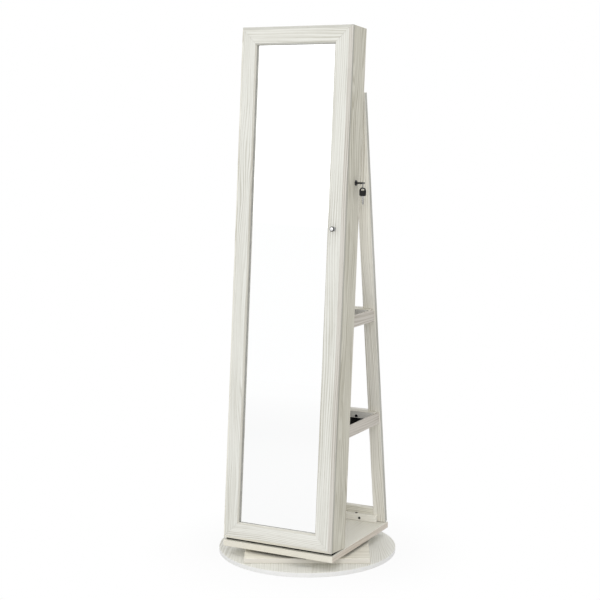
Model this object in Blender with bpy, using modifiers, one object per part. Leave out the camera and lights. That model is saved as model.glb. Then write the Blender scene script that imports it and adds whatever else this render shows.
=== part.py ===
"""Rotating jewelry armoire: a leaning mirror cabinet on a turntable, with two rear legs and two trays.

Metres and degrees. +Z is up, the mirror door faces -Y and the turntable's axis is the Z axis.
"""
import math

import bmesh
import bpy
from mathutils import Matrix, Vector

# Gaps and broken edges
SEAT_GAP = 0.0003
RUN_GAP = 0.0004
EDGE_BREAK = 0.0008

# Round base with its square platform
PAD_RADIUS = 0.016
PAD_HEIGHT = 0.001
PAD_INSET = 0.034
PAD_COUNT = 4
DISC_RADIUS = 0.2745
DISC_HEIGHT = 0.0135
DISC_SIDES = 96
PLATFORM_SIDE = 0.378
PLATFORM_HEIGHT = 0.0155
BASE_TURN = 27.0

# Turntable bearing
BEARING_SIDE = 0.200
BEARING_SHEET = 0.002
BEARING_HOLE = 0.052
BALL_DIAMETER = 0.0046
BALL_CIRCLE = 0.078
BALL_COUNT = 12
CAGE_WIDTH = 0.012
CAGE_THICKNESS = 0.0016

# Swivel board
SWIVEL_WIDTH = 0.371
SWIVEL_DEPTH = 0.402
SWIVEL_HEIGHT = 0.0193

# Leaning cabinet
LEAN = 5.0
CABINET_WIDTH = 0.366
CABINET_HEIGHT = 1.542
CARCASS_DEPTH = 0.0795
DOOR_OVERHANG = 0.010
PANEL_THICKNESS = 0.012
BACK_THICKNESS = 0.004
BACK_INSET = 0.001
LINER_THICKNESS = 0.0015
WEDGE_WIDTH = 0.300
WEDGE_SETBACK = 0.036
WEDGE_REAR = 0.006

# Mirror door
DOOR_THICKNESS = 0.019
DOOR_GAP = 0.0015
FRAME_WIDTH = 0.0532
FRAME_CHAMFER = 0.009
FRAME_INNER_BEVEL = 0.004
FRAME_LIP = 0.0115
FRAME_REBATE = 0.008
GLASS_THICKNESS = 0.003
GLASS_PLAY = 0.0006
BACKING_THICKNESS = 0.0036
KNOB_HEIGHT_UP = 0.953
KNOB_RADIUS = 0.0075
KNOB_REACH = 0.019
KNOB_STEM_RADIUS = 0.0036
KNOB_FLANGE_RADIUS = 0.0065
KNOB_FLANGE = 0.002

# Door hinges
HINGE_END = 0.130
HINGE_LENGTH = 0.050
LEAF_THICKNESS = 0.0012
DOOR_LEAF_WIDTH = 0.0085
CARCASS_LEAF_WIDTH = 0.014
KNUCKLE_RADIUS = 0.0028
PIN_RADIUS = 0.0012
PIN_STANDOFF = 0.0034
KNUCKLE_SIDES = 16

# Rear leg frame
LEG_TOP_GAP = 0.0037
LEG_TOP_DROP = 0.1865
LEG_WIDTH = 0.040
LEG_THICKNESS = 0.0155
LEG_SETBACK = 0.001
LEG_FOOT_RISE = 0.004
FOOT_RAIL_RISE = 0.0024
FOOT_RAIL_HEIGHT = 0.044
BATTEN_LENGTH = 0.313
BATTEN_THICKNESS = 0.013
BATTEN_HEIGHT = 0.022
STRETCHER_DROP = 0.0387
STRETCHER_HEIGHT = 0.044
STRETCHER_THICKNESS = 0.018

# Trays between the cabinet and the legs
TRAY_HEIGHTS = {"upper": 0.7198, "lower": 0.3908}
RAIL_HEIGHT = 0.0345
RAIL_THICKNESS = 0.009
RAIL_INSET = 0.003
REAR_RAIL_RISE = 0.0062
REAR_RAIL_THICKNESS = 0.018
TRAY_FLOOR_RISE = 0.011
TRAY_FLOOR_THICKNESS = 0.004

# Inside of the cabinet
SHELF_HEIGHTS = (0.240, 0.480)
SHELF_THICKNESS = 0.008
SHELF_SETBACK = 0.012
GUARD_HEIGHT = 0.034
GUARD_THICKNESS = 0.003
RING_SHELF_UP = 0.730
ROLL_RADIUS = 0.0068
ROLL_COUNT = 4
ROLL_BASE = 0.007
ROLL_SIDE_GAP = 0.004
EARRING_BAR_UP = 0.930
EARRING_BAR_HEIGHT = 0.012
EARRING_BAR_THICKNESS = 0.005
EARRING_BAR_BACK = 0.026
NECKLACE_RAIL_DROP = 0.047
NECKLACE_RAIL_HEIGHT = 0.028
NECKLACE_RAIL_THICKNESS = 0.010
HOOK_COUNT = 9
HOOK_PITCH = 0.034
HOOK_RADIUS = 0.002
HOOK_REACH = 0.018
HOOK_TILT = 18.0
CATCH_DROP = 0.118
CATCH_SIZE = (0.012, 0.014, 0.032)

# Lock in the right side
LOCK_UP = 1.090
LOCK_BACK = 0.069
LOCK_FLANGE_RADIUS = 0.0082
LOCK_FLANGE = 0.002
LOCK_BARREL_RADIUS = 0.0068
LOCK_BARREL_LENGTH = 0.022
PLUG_RADIUS = 0.0052
CAM_THICKNESS = 0.002
CAM_WIDTH = 0.008
CAM_REACH = 0.0455
CAM_HOOK = 0.005
CAM_HOOK_DROP = 0.011
STRIKE_SHEET = 0.0015
STRIKE_WIDTH = 0.014
STRIKE_LIP = 0.008
STRIKE_CLEAR = 0.002
LOCK_SIDES = 32

# Keys
BOW_WIDTH = 0.020
BOW_LENGTH = 0.025
BOW_THICKNESS = 0.0044
BOW_CORNER = 0.004
BOW_ARCH = 0.0098
BOW_SLOT_WIDTH = 0.0088
BOW_SLOT_HEIGHT = 0.0052
BOW_BRIDGE = 0.004
KEY_NECK = 0.001
BLADE_WIDTH = 0.007
BLADE_THICKNESS = 0.002
BLADE_IN_LOCK = 0.013
SPARE_BLADE_LENGTH = 0.026
RING_RADIUS = 0.0105
RING_WIRE = 0.0006
RING_DROP = 0.0068
RING_TURN = -60.0

# Levels and places that follow from the sizes
DISC_BOTTOM = PAD_HEIGHT + SEAT_GAP
PLATFORM_BOTTOM = DISC_BOTTOM + DISC_HEIGHT + SEAT_GAP
LOWER_PLATE_BOTTOM = PLATFORM_BOTTOM + PLATFORM_HEIGHT + SEAT_GAP
BALL_LEVEL = LOWER_PLATE_BOTTOM + BEARING_SHEET + SEAT_GAP + BALL_DIAMETER / 2
UPPER_PLATE_BOTTOM = BALL_LEVEL + BALL_DIAMETER / 2 + SEAT_GAP
SWIVEL_BOTTOM = UPPER_PLATE_BOTTOM + BEARING_SHEET + SEAT_GAP
SWIVEL_TOP = SWIVEL_BOTTOM + SWIVEL_HEIGHT
CARCASS_FRONT = DOOR_THICKNESS + DOOR_GAP
CABINET_DEPTH = CARCASS_FRONT + CARCASS_DEPTH
INNER_HALF = CABINET_WIDTH / 2 - PANEL_THICKNESS
BACK_REAR = CABINET_DEPTH - BACK_INSET
LINER_FRONT = BACK_REAR - BACK_THICKNESS - SEAT_GAP - LINER_THICKNESS
LEAN_RAD = math.radians(LEAN)
CABINET_ORIGIN = Vector((
    0.0,
    -SWIVEL_DEPTH / 2 - DOOR_OVERHANG,
    SWIVEL_TOP + SEAT_GAP + CABINET_DEPTH * math.sin(LEAN_RAD),
))
TOP_UNDERSIDE = CABINET_HEIGHT - PANEL_THICKNESS
HINGE_MIDDLES = (HINGE_END, CABINET_HEIGHT / 2, CABINET_HEIGHT - HINGE_END)
CATCH_UP = TOP_UNDERSIDE - CATCH_DROP - CATCH_SIZE[2]
NECKLACE_RAIL_UP = TOP_UNDERSIDE - NECKLACE_RAIL_DROP - NECKLACE_RAIL_HEIGHT
LEG_ORIGIN = Vector((0.0, SWIVEL_DEPTH / 2 - LEG_SETBACK, SWIVEL_TOP))
LEG_TOP_UP = CABINET_HEIGHT - LEG_TOP_DROP
STRETCHER_UP = LEG_TOP_UP - STRETCHER_DROP
LEG_TOP_BACK = CABINET_DEPTH + LEG_TOP_GAP
LEG_TOP = CABINET_ORIGIN + Vector((
    0.0,
    LEG_TOP_UP * math.sin(LEAN_RAD) + LEG_TOP_BACK * math.cos(LEAN_RAD),
    LEG_TOP_UP * math.cos(LEAN_RAD) - LEG_TOP_BACK * math.sin(LEAN_RAD),
))
LEG_RUN = LEG_TOP - LEG_ORIGIN
LEG_END = math.sqrt(LEG_RUN.length_squared - LEG_THICKNESS ** 2)
LEG_RAD = math.atan2(LEG_RUN.z, LEG_RUN.y) - math.atan2(LEG_END, -LEG_THICKNESS)
LEG_OUTER = CABINET_WIDTH / 2
LEG_INNER = LEG_OUTER - LEG_WIDTH
RAIL_OUTER = CABINET_WIDTH / 2 - RAIL_INSET
RAIL_INNER = RAIL_OUTER - RAIL_THICKNESS
HINGE_X = -CABINET_WIDTH / 2 - PIN_STANDOFF
HINGE_BACK = DOOR_THICKNESS + DOOR_GAP / 2

# Colours
WHITEWASH = (0.74, 0.73, 0.69)
EDGE_BEIGE = (0.68, 0.64, 0.54)
BLACK_VELVET = (0.012, 0.012, 0.014)
STEEL = (0.62, 0.63, 0.64)
CHROME = (0.85, 0.85, 0.86)
BLACK_NICKEL = (0.035, 0.035, 0.037)
BLACK_PLASTIC = (0.015, 0.015, 0.016)
RUBBER = (0.03, 0.03, 0.03)
MIRROR = (0.93, 0.94, 0.94)
ACRYLIC = (0.85, 0.88, 0.90)


def clear_scene():
    """Removes what the scene starts with."""
    for item in list(bpy.data.objects):
        bpy.data.objects.remove(item)


def collection(name):
    """A new collection in the scene."""
    group = bpy.data.collections.new(name)
    bpy.context.scene.collection.children.link(group)
    return group


def material(name, colour, roughness, metallic=0.0):
    """A Principled material of one colour."""
    made = bpy.data.materials.get(name)
    if made is None:
        made = bpy.data.materials.new(name)
        made.use_nodes = True
        shader = made.node_tree.nodes["Principled BSDF"]
        shader.inputs["Base Color"].default_value = (*colour, 1.0)
        shader.inputs["Roughness"].default_value = roughness
        shader.inputs["Metallic"].default_value = metallic
    return made


def frame(name, location, turn_x=0.0, turn_z=0.0, parent=None):
    """An empty that carries the pieces of one sub-assembly."""
    empty = bpy.data.objects.new(name, None)
    PARTS.objects.link(empty)
    empty.location = location
    empty.rotation_euler = (turn_x, 0.0, turn_z)
    empty.parent = parent
    return empty


def add_object(name, solid, finish, parent=None, smooth=False):
    """Makes a named object from a bmesh and hangs it on its frame."""
    mesh = bpy.data.meshes.new(name)
    bmesh.ops.recalc_face_normals(solid, faces=solid.faces)
    solid.to_mesh(mesh)
    solid.free()
    if smooth:
        mesh.shade_smooth()
        mesh.set_sharp_from_angle(angle=math.radians(35))
    item = bpy.data.objects.new(name, mesh)
    if finish is None:
        CUTTERS.objects.link(item)
        item.hide_render = True
        item.display_type = "WIRE"
    else:
        PARTS.objects.link(item)
        mesh.materials.append(finish)
    item.parent = parent
    return item


def break_edges(item, width=EDGE_BREAK):
    """Bevels the sharp edges of a board or a turned piece."""
    bevel = item.modifiers.new("broken_edges", "BEVEL")
    bevel.width = width
    bevel.segments = 1
    bevel.limit_method = "ANGLE"
    bevel.angle_limit = math.radians(40)
    return item


def box_solid(low, high):
    """A bmesh box between two corners."""
    low, high = Vector(low), Vector(high)
    solid = bmesh.new()
    place = Matrix.Translation((low + high) / 2) @ Matrix.Diagonal((*(high - low), 1.0))
    bmesh.ops.create_cube(solid, size=1.0, matrix=place)
    return solid


def board(name, low, high, finish, parent=None, planes=(), edge=EDGE_BREAK):
    """A board between two corners, trimmed by planes given as a point and an outward normal."""
    solid = box_solid(low, high)
    for point, normal in planes:
        trim(solid, point, normal)
    item = add_object(name, solid, finish, parent)
    return break_edges(item, edge) if edge else item


def trim(solid, point, normal):
    """Cuts away what lies past a plane and closes the cut."""
    everything = solid.verts[:] + solid.edges[:] + solid.faces[:]
    bmesh.ops.bisect_plane(solid, geom=everything, plane_co=point, plane_no=normal, clear_outer=True)
    rim = [edge for edge in solid.edges if edge.is_boundary]
    bmesh.ops.holes_fill(solid, edges=rim)


def rod_solid(radius, start, end, sides):
    """A bmesh cylinder between two points."""
    start, end = Vector(start), Vector(end)
    axis = end - start
    solid = bmesh.new()
    turn = axis.to_track_quat("Z", "Y").to_matrix().to_4x4()
    place = Matrix.Translation((start + end) / 2) @ turn
    bmesh.ops.create_cone(solid, cap_ends=True, segments=sides, radius1=radius, radius2=radius,
                          depth=axis.length, matrix=place)
    return solid


def combine(item, helpers, operation):
    """Joins helper solids to a piece, or cuts them out of it."""
    for helper in helpers:
        change = item.modifiers.new(helper.name, "BOOLEAN")
        change.operation = operation
        change.solver = "EXACT"
        change.object = helper
    return item


def outline_solid(rings, depth):
    """A flat outline in X and Y, with any holes in it, extruded along Z from 0 to a depth."""
    curve = bpy.data.curves.new("outline", "CURVE")
    curve.dimensions = "2D"
    curve.fill_mode = "BOTH"
    curve.extrude = depth / 2
    for ring in rings:
        spline = curve.splines.new("POLY")
        spline.points.add(len(ring) - 1)
        for point, (x, y) in zip(spline.points, ring):
            point.co = (x, y, 0.0, 1.0)
        spline.use_cyclic_u = True
    guide = bpy.data.objects.new("outline", curve)
    CUTTERS.objects.link(guide)
    bpy.context.view_layer.update()
    shaped = guide.evaluated_get(bpy.context.evaluated_depsgraph_get())
    mesh = bpy.data.meshes.new_from_object(shaped)
    bpy.data.objects.remove(guide)
    solid = bmesh.new()
    solid.from_mesh(mesh)
    bpy.data.meshes.remove(mesh)
    bmesh.ops.remove_doubles(solid, verts=solid.verts, dist=0.00001)
    bmesh.ops.dissolve_limit(solid, angle_limit=0.01, verts=solid.verts, edges=solid.edges)
    bmesh.ops.translate(solid, verts=solid.verts, vec=(0.0, 0.0, depth / 2))
    return solid


def turned_object(name, profile, sides, finish, parent=None):
    """A profile of radius and height, from top to bottom, turned round Z with a Screw modifier."""
    solid = bmesh.new()
    points = [solid.verts.new((radius, 0.0, height)) for radius, height in profile]
    for first, second in zip(points, points[1:]):
        solid.edges.new((first, second))
    item = add_object(name, solid, finish, parent)
    screw = item.modifiers.new("turned", "SCREW")
    screw.axis = "Z"
    screw.steps = sides
    screw.render_steps = sides
    screw.use_merge_vertices = True
    screw.merge_threshold = 0.00001
    screw.use_smooth_shade = True
    return item


def rounded_rectangle(x0, y0, x1, y1, near, far, steps=4):
    """Corner arcs of a rectangle, anticlockwise, with one radius at low X and one at high X."""
    points = []
    corners = ((x1, y1, 0, far), (x0, y1, 90, near), (x0, y0, 180, near), (x1, y0, 270, far))
    for x, y, start, radius in corners:
        centre_x = x - math.copysign(radius, x - (x0 + x1) / 2)
        centre_y = y - math.copysign(radius, y - (y0 + y1) / 2)
        for step in range(steps + 1):
            angle = math.radians(start + 90 * step / steps)
            points.append((centre_x + radius * math.cos(angle), centre_y + radius * math.sin(angle)))
    return points


def cabinet_plane(back, outward):
    """A plane across the leaning cabinet at a depth behind the door's face, in world space."""
    normal = Vector((0.0, math.cos(LEAN_RAD), -math.sin(LEAN_RAD)))
    return CABINET_ORIGIN + normal * back, normal * outward


def leg_plane(back, outward):
    """A plane along the leg frame at a depth behind its rear face, in world space."""
    normal = Vector((0.0, math.cos(LEG_RAD), math.sin(LEG_RAD)))
    return LEG_ORIGIN + normal * back, normal * outward


def build_base():
    """Round base on rubber pads, with the square platform on it."""
    turn = frame("base_frame", (0.0, 0.0, 0.0), turn_z=math.radians(BASE_TURN))
    for index in range(PAD_COUNT):
        angle = 2 * math.pi * (index + 0.5) / PAD_COUNT
        reach = DISC_RADIUS - PAD_INSET
        low = (reach * math.cos(angle), reach * math.sin(angle), 0.0)
        high = (low[0], low[1], PAD_HEIGHT)
        pad = rod_solid(PAD_RADIUS, low, high, 24)
        add_object(f"base_pad_{index + 1}", pad, material("rubber", RUBBER, 0.8), turn, smooth=True)
    disc = rod_solid(DISC_RADIUS, (0, 0, DISC_BOTTOM), (0, 0, DISC_BOTTOM + DISC_HEIGHT), DISC_SIDES)
    wood = material("whitewash", WHITEWASH, 0.5)
    break_edges(add_object("base_disc", disc, wood, turn, smooth=True))
    half = PLATFORM_SIDE / 2
    low = (-half, -half, PLATFORM_BOTTOM)
    high = (half, half, PLATFORM_BOTTOM + PLATFORM_HEIGHT)
    board("base_platform", low, high, wood, turn)
    return turn


def bearing_plate(name, bottom, parent):
    """One square steel plate of the turntable bearing, open in the middle."""
    half = BEARING_SIDE / 2
    steel = material("zinc_steel", STEEL, 0.35, 1.0)
    plate = board(name, (-half, -half, bottom), (half, half, bottom + BEARING_SHEET), steel, parent, edge=0)
    hole = rod_solid(BEARING_HOLE, (0, 0, bottom - BEARING_SHEET), (0, 0, bottom + 2 * BEARING_SHEET), 48)
    combine(plate, [add_object(f"{name}_hole", hole, None, parent)], "DIFFERENCE")


def build_bearing(base):
    """Turntable bearing: a plate on the platform, a cage of balls and a plate under the swivel board."""
    bearing_plate("bearing_lower_plate", LOWER_PLATE_BOTTOM, base)
    bearing_plate("bearing_upper_plate", UPPER_PLATE_BOTTOM, None)
    inner = BALL_CIRCLE - CAGE_WIDTH / 2
    outer = BALL_CIRCLE + CAGE_WIDTH / 2
    half = CAGE_THICKNESS / 2
    steel = material("zinc_steel", STEEL, 0.35, 1.0)
    cage_frame = frame("ball_cage_frame", (0.0, 0.0, BALL_LEVEL))
    ring = rod_solid(outer, (0, 0, -half), (0, 0, half), 48)
    cage = add_object("bearing_ball_cage", ring, steel, cage_frame)
    hole = add_object("ball_cage_hole", rod_solid(inner, (0, 0, -BALL_DIAMETER), (0, 0, BALL_DIAMETER), 48),
                      None, cage_frame)
    balls = bmesh.new()
    for index in range(BALL_COUNT):
        angle = 2 * math.pi * index / BALL_COUNT
        place = Matrix.Translation((BALL_CIRCLE * math.cos(angle), BALL_CIRCLE * math.sin(angle), 0.0))
        bmesh.ops.create_uvsphere(balls, u_segments=10, v_segments=6, radius=BALL_DIAMETER / 2, matrix=place)
    ball_ring = add_object("ball_ring", balls, None, cage_frame)
    combine(cage, [hole], "DIFFERENCE")
    combine(cage, [ball_ring], "UNION")


def build_cabinet(cabinet):
    """Swivel board and the leaning carcass, with its hole for the lock."""
    wood = material("whitewash", WHITEWASH, 0.5)
    half_width, half_depth = SWIVEL_WIDTH / 2, SWIVEL_DEPTH / 2
    board("swivel_board", (-half_width, -half_depth, SWIVEL_BOTTOM), (half_width, half_depth, SWIVEL_TOP),
          material("edge_banded_board", EDGE_BEIGE, 0.5))
    outer = CABINET_WIDTH / 2
    for side, sign in (("left", -1), ("right", 1)):
        near, far = sorted((sign * INNER_HALF, sign * outer))
        panel = board(f"side_panel_{side}", (near, CARCASS_FRONT, 0.0), (far, CABINET_DEPTH, CABINET_HEIGHT),
                      wood, cabinet)
        if side == "right":
            hole = rod_solid(LOCK_BARREL_RADIUS + SEAT_GAP, (near - PANEL_THICKNESS, LOCK_BACK, LOCK_UP),
                             (far + PANEL_THICKNESS, LOCK_BACK, LOCK_UP), LOCK_SIDES)
            combine(panel, [add_object("lock_hole", hole, None, cabinet)], "DIFFERENCE")
    across = INNER_HALF - SEAT_GAP
    for name, low in (("bottom_panel", 0.0), ("top_panel", CABINET_HEIGHT - PANEL_THICKNESS)):
        board(name, (-across, CARCASS_FRONT, low), (across, CABINET_DEPTH, low + PANEL_THICKNESS),
              wood, cabinet)
    low = PANEL_THICKNESS + SEAT_GAP
    high = CABINET_HEIGHT - PANEL_THICKNESS - SEAT_GAP
    board("back_panel", (-across, BACK_REAR - BACK_THICKNESS, low), (across, BACK_REAR, high), wood, cabinet)
    board("velvet_liner", (-across, LINER_FRONT, low), (across, LINER_FRONT + LINER_THICKNESS, high),
          material("black_velvet", BLACK_VELVET, 0.95), cabinet, edge=0)
    build_wedge(wood)


def build_wedge(wood):
    """Wedge that carries the leaning cabinet on the flat swivel board, set back out of sight."""
    floor = SWIVEL_TOP + SEAT_GAP
    up = Vector((0.0, math.sin(LEAN_RAD), math.cos(LEAN_RAD)))
    under = CABINET_ORIGIN - up * SEAT_GAP
    front, rear = (CABINET_ORIGIN.y + setback for setback in (WEDGE_SETBACK, CABINET_DEPTH - WEDGE_REAR))
    planes = ((under, up),)
    board("cabinet_wedge", (-WEDGE_WIDTH / 2, front, floor), (WEDGE_WIDTH / 2, rear, floor + CABINET_DEPTH),
          wood, planes=planes, edge=0)


def frame_profile():
    """Section of a door frame member: across from its outer edge, and back from its face."""
    inner = FRAME_WIDTH - FRAME_REBATE
    return [
        (0.0, DOOR_THICKNESS),
        (0.0, FRAME_CHAMFER),
        (FRAME_CHAMFER, 0.0),
        (FRAME_WIDTH - FRAME_INNER_BEVEL, 0.0),
        (FRAME_WIDTH, FRAME_INNER_BEVEL),
        (FRAME_WIDTH, FRAME_LIP),
        (inner, FRAME_LIP),
        (inner, DOOR_THICKNESS),
    ]


def frame_member(name, corner, turn, length, finish, parent):
    """One mitred side of the door frame, from a corner of the door, turned in the door's plane."""
    solid = outline_solid([frame_profile()], length)
    slack = SEAT_GAP / 2
    trim(solid, (0.0, 0.0, slack * math.sqrt(2)), (1.0, 0.0, -1.0))
    trim(solid, (0.0, 0.0, length - slack * math.sqrt(2)), (1.0, 0.0, 1.0))
    item = add_object(name, solid, finish, parent)
    item.location = corner
    item.rotation_euler = (0.0, math.radians(turn), 0.0)
    return item


def build_door(door):
    """Mitred frame, mirror and backing, with the knob. Places are counted from the hinge axis."""
    wood = material("whitewash", WHITEWASH, 0.5)
    left = -CABINET_WIDTH / 2 - HINGE_X
    right = CABINET_WIDTH / 2 - HINGE_X
    face = -HINGE_BACK
    frame_member("door_stile_left", (left, face, 0.0), 0, CABINET_HEIGHT, wood, door)
    frame_member("door_rail_top", (left, face, CABINET_HEIGHT), 90, CABINET_WIDTH, wood, door)
    frame_member("door_stile_right", (right, face, CABINET_HEIGHT), 180, CABINET_HEIGHT, wood, door)
    frame_member("door_rail_bottom", (right, face, 0.0), -90, CABINET_WIDTH, wood, door)
    rim = FRAME_WIDTH - FRAME_REBATE + GLASS_PLAY
    glass = face + FRAME_LIP + SEAT_GAP
    backing = glass + GLASS_THICKNESS + SEAT_GAP
    low, high = (left + rim, rim), (right - rim, CABINET_HEIGHT - rim)
    board("mirror_glass", (low[0], glass, low[1]), (high[0], glass + GLASS_THICKNESS, high[1]),
          material("mirror", MIRROR, 0.02, 1.0), door, edge=0)
    board("mirror_backing", (low[0], backing, low[1]), (high[0], backing + BACKING_THICKNESS, high[1]),
          material("black_velvet", BLACK_VELVET, 0.95), door, edge=0)
    head = KNOB_REACH - KNOB_RADIUS
    arc = [math.radians(90 - 150 * step / 8) for step in range(9)]
    profile = [(KNOB_RADIUS * math.cos(a), head + KNOB_RADIUS * math.sin(a)) for a in arc[1:]]
    profile = [(0.0, KNOB_REACH)] + profile
    profile += [
        (KNOB_STEM_RADIUS, head - KNOB_RADIUS * 0.9),
        (KNOB_STEM_RADIUS, KNOB_FLANGE),
        (KNOB_FLANGE_RADIUS, KNOB_FLANGE),
        (KNOB_FLANGE_RADIUS, 0.0),
        (0.0, 0.0),
    ]
    knob = turned_object("door_knob", profile, 32, material("chrome", CHROME, 0.08, 1.0), door)
    knob.location = (right - (FRAME_WIDTH + FRAME_CHAMFER) / 2, face - SEAT_GAP, KNOB_HEIGHT_UP)
    knob.rotation_euler = (math.radians(90), 0.0, 0.0)


def hinge_leaf(name, middle, spans, width, parent, bored):
    """A hinge leaf on the left side: its plate, tongues and knuckles. Places are counted from the pin."""
    steel = material("nickel", STEEL, 0.3, 1.0)
    face = PIN_STANDOFF - SEAT_GAP
    near = KNUCKLE_RADIUS + RUN_GAP
    sign = math.copysign(1.0, width)
    edges = sorted((sign * near, width))
    low, high = middle - HINGE_LENGTH / 2, middle + HINGE_LENGTH / 2
    leaf = board(name, (face - LEAF_THICKNESS, edges[0], low), (face, edges[1], high), steel, parent, edge=0)
    helpers = []
    for index, (bottom, top) in enumerate(spans):
        reach = sorted((0.0, sign * (near + LEAF_THICKNESS)))
        tongue = box_solid((face - LEAF_THICKNESS, reach[0], bottom), (face, reach[1], top))
        helpers.append(add_object(f"{name}_tongue_{index}", tongue, None, parent))
        knuckle = rod_solid(KNUCKLE_RADIUS, (0, 0, bottom), (0, 0, top), KNUCKLE_SIDES)
        helpers.append(add_object(f"{name}_knuckle_{index}", knuckle, None, parent))
    if not bored:
        pin = rod_solid(PIN_RADIUS, (0, 0, low + RUN_GAP), (0, 0, high - RUN_GAP), KNUCKLE_SIDES)
        helpers.append(add_object(f"{name}_pin", pin, None, parent))
    combine(leaf, helpers, "UNION")
    if bored:
        bore = rod_solid(PIN_RADIUS + RUN_GAP, (0, 0, low), (0, 0, high), KNUCKLE_SIDES)
        combine(leaf, [add_object(f"{name}_bore", bore, None, parent)], "DIFFERENCE")


def build_hinges(cabinet_hinge, door):
    """Three butt hinges on the cabinet's left side, each with two leaves and a pin."""
    third = HINGE_LENGTH / 3
    for index, middle in enumerate(HINGE_MIDDLES, start=1):
        low, high = middle - HINGE_LENGTH / 2, middle + HINGE_LENGTH / 2
        outer = ((low, low + third - RUN_GAP / 2), (high - third + RUN_GAP / 2, high))
        centre = ((low + third + RUN_GAP / 2, high - third - RUN_GAP / 2),)
        hinge_leaf(f"hinge_carcass_leaf_{index}", middle, outer, CARCASS_LEAF_WIDTH, cabinet_hinge, False)
        hinge_leaf(f"hinge_door_leaf_{index}", middle, centre, -DOOR_LEAF_WIDTH, door, True)


def build_legs(legs):
    """Two rear legs with their cross rails, the foot batten and the stretcher at the cabinet's back."""
    wood = material("whitewash", WHITEWASH, 0.5)
    for side, sign in (("left", -1), ("right", 1)):
        near, far = sorted((sign * LEG_INNER, sign * LEG_OUTER))
        board(f"leg_{side}", (near, -LEG_THICKNESS, LEG_FOOT_RISE), (far, 0.0, LEG_END),
              wood, legs)
    across = LEG_INNER - SEAT_GAP
    foot_top = FOOT_RAIL_RISE + FOOT_RAIL_HEIGHT
    board("rear_foot_rail", (-across, -LEG_THICKNESS, FOOT_RAIL_RISE), (across, 0.0, foot_top), wood, legs)
    low = SWIVEL_TOP + SEAT_GAP
    leg_front = leg_plane(-LEG_THICKNESS - SEAT_GAP, 1.0)[0]
    top_front = leg_front.y - math.tan(LEG_RAD) * (low + BATTEN_HEIGHT - leg_front.z)
    board("foot_batten", (-BATTEN_LENGTH / 2, top_front - BATTEN_THICKNESS, low),
          (BATTEN_LENGTH / 2, top_front, low + BATTEN_HEIGHT), wood)


def build_stretcher(cabinet):
    """Stretcher between the tops of the legs, against the cabinet's back."""
    across = LEG_INNER - SEAT_GAP
    front = BACK_REAR + SEAT_GAP
    board("leg_stretcher", (-across, front, STRETCHER_UP),
          (across, front + STRETCHER_THICKNESS, STRETCHER_UP + STRETCHER_HEIGHT),
          material("whitewash", WHITEWASH, 0.5), cabinet)


def build_tray(name, bottom, legs):
    """One open tray: two side rails, a rear rail on the legs, a black floor and a cross rail."""
    wood = material("whitewash", WHITEWASH, 0.5)
    top = bottom + RAIL_HEIGHT
    front_end = cabinet_plane(CABINET_DEPTH + SEAT_GAP, -1.0)
    rear_end = leg_plane(-LEG_THICKNESS - SEAT_GAP, 1.0)
    for side, sign in (("left", -1), ("right", 1)):
        near, far = sorted((sign * RAIL_INNER, sign * RAIL_OUTER))
        board(f"{name}_tray_{side}_rail", (near, -SWIVEL_DEPTH / 2, bottom), (far, SWIVEL_DEPTH / 2, top),
              wood, planes=(front_end, rear_end))
    across = RAIL_INNER - SEAT_GAP
    rear_face = -LEG_THICKNESS - SEAT_GAP
    along = [(level - LEG_ORIGIN.z) / math.cos(LEG_RAD) for level in (bottom, top + REAR_RAIL_RISE)]
    board(f"{name}_tray_rear_rail", (-across, rear_face - REAR_RAIL_THICKNESS, along[0]),
          (across, rear_face, along[1]), wood, legs)
    floor = bottom + TRAY_FLOOR_RISE
    floor_rear = leg_plane(rear_face - REAR_RAIL_THICKNESS - SEAT_GAP, 1.0)
    board(f"{name}_tray_floor", (-across, -SWIVEL_DEPTH / 2, floor),
          (across, SWIVEL_DEPTH / 2, floor + TRAY_FLOOR_THICKNESS),
          material("black_velvet", BLACK_VELVET, 0.95), planes=(front_end, floor_rear), edge=0)
    between = LEG_INNER - SEAT_GAP
    board(f"{name}_cross_rail", (-between, -LEG_THICKNESS, along[0]), (between, 0.0, along[1]), wood, legs)


def build_inside(cabinet):
    """Shelves with clear guards, ring rolls, an earring bar, a necklace rail and the magnetic catch."""
    wood = material("whitewash", WHITEWASH, 0.5)
    velvet = material("black_velvet", BLACK_VELVET, 0.95)
    across = INNER_HALF - SEAT_GAP
    front = CARCASS_FRONT + SHELF_SETBACK
    rear = LINER_FRONT - SEAT_GAP
    for index, low in enumerate(SHELF_HEIGHTS, start=1):
        top = low + SHELF_THICKNESS
        board(f"shelf_{index}", (-across, front, low), (across, rear, top), wood, cabinet)
        guard_low = top + SEAT_GAP
        board(f"shelf_guard_{index}", (-across, front, guard_low),
              (across, front + GUARD_THICKNESS, guard_low + GUARD_HEIGHT),
              material("acrylic", ACRYLIC, 0.1), cabinet, edge=0)
    top = RING_SHELF_UP + SHELF_THICKNESS
    board("ring_shelf", (-across, front, RING_SHELF_UP), (across, rear, top), wood, cabinet)
    build_ring_rolls(top + SEAT_GAP, (front + rear) / 2, across, velvet, cabinet)
    bar_rear = LINER_FRONT - EARRING_BAR_BACK
    board("earring_bar", (-across, bar_rear - EARRING_BAR_THICKNESS, EARRING_BAR_UP),
          (across, bar_rear, EARRING_BAR_UP + EARRING_BAR_HEIGHT), wood, cabinet)
    build_necklace_rail(across, rear, wood, cabinet)
    low = Vector((across - CATCH_SIZE[0], CARCASS_FRONT, CATCH_UP))
    plastic = material("black_plastic", BLACK_PLASTIC, 0.45)
    board("magnet_catch", low, low + Vector(CATCH_SIZE), plastic, cabinet)


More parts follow.
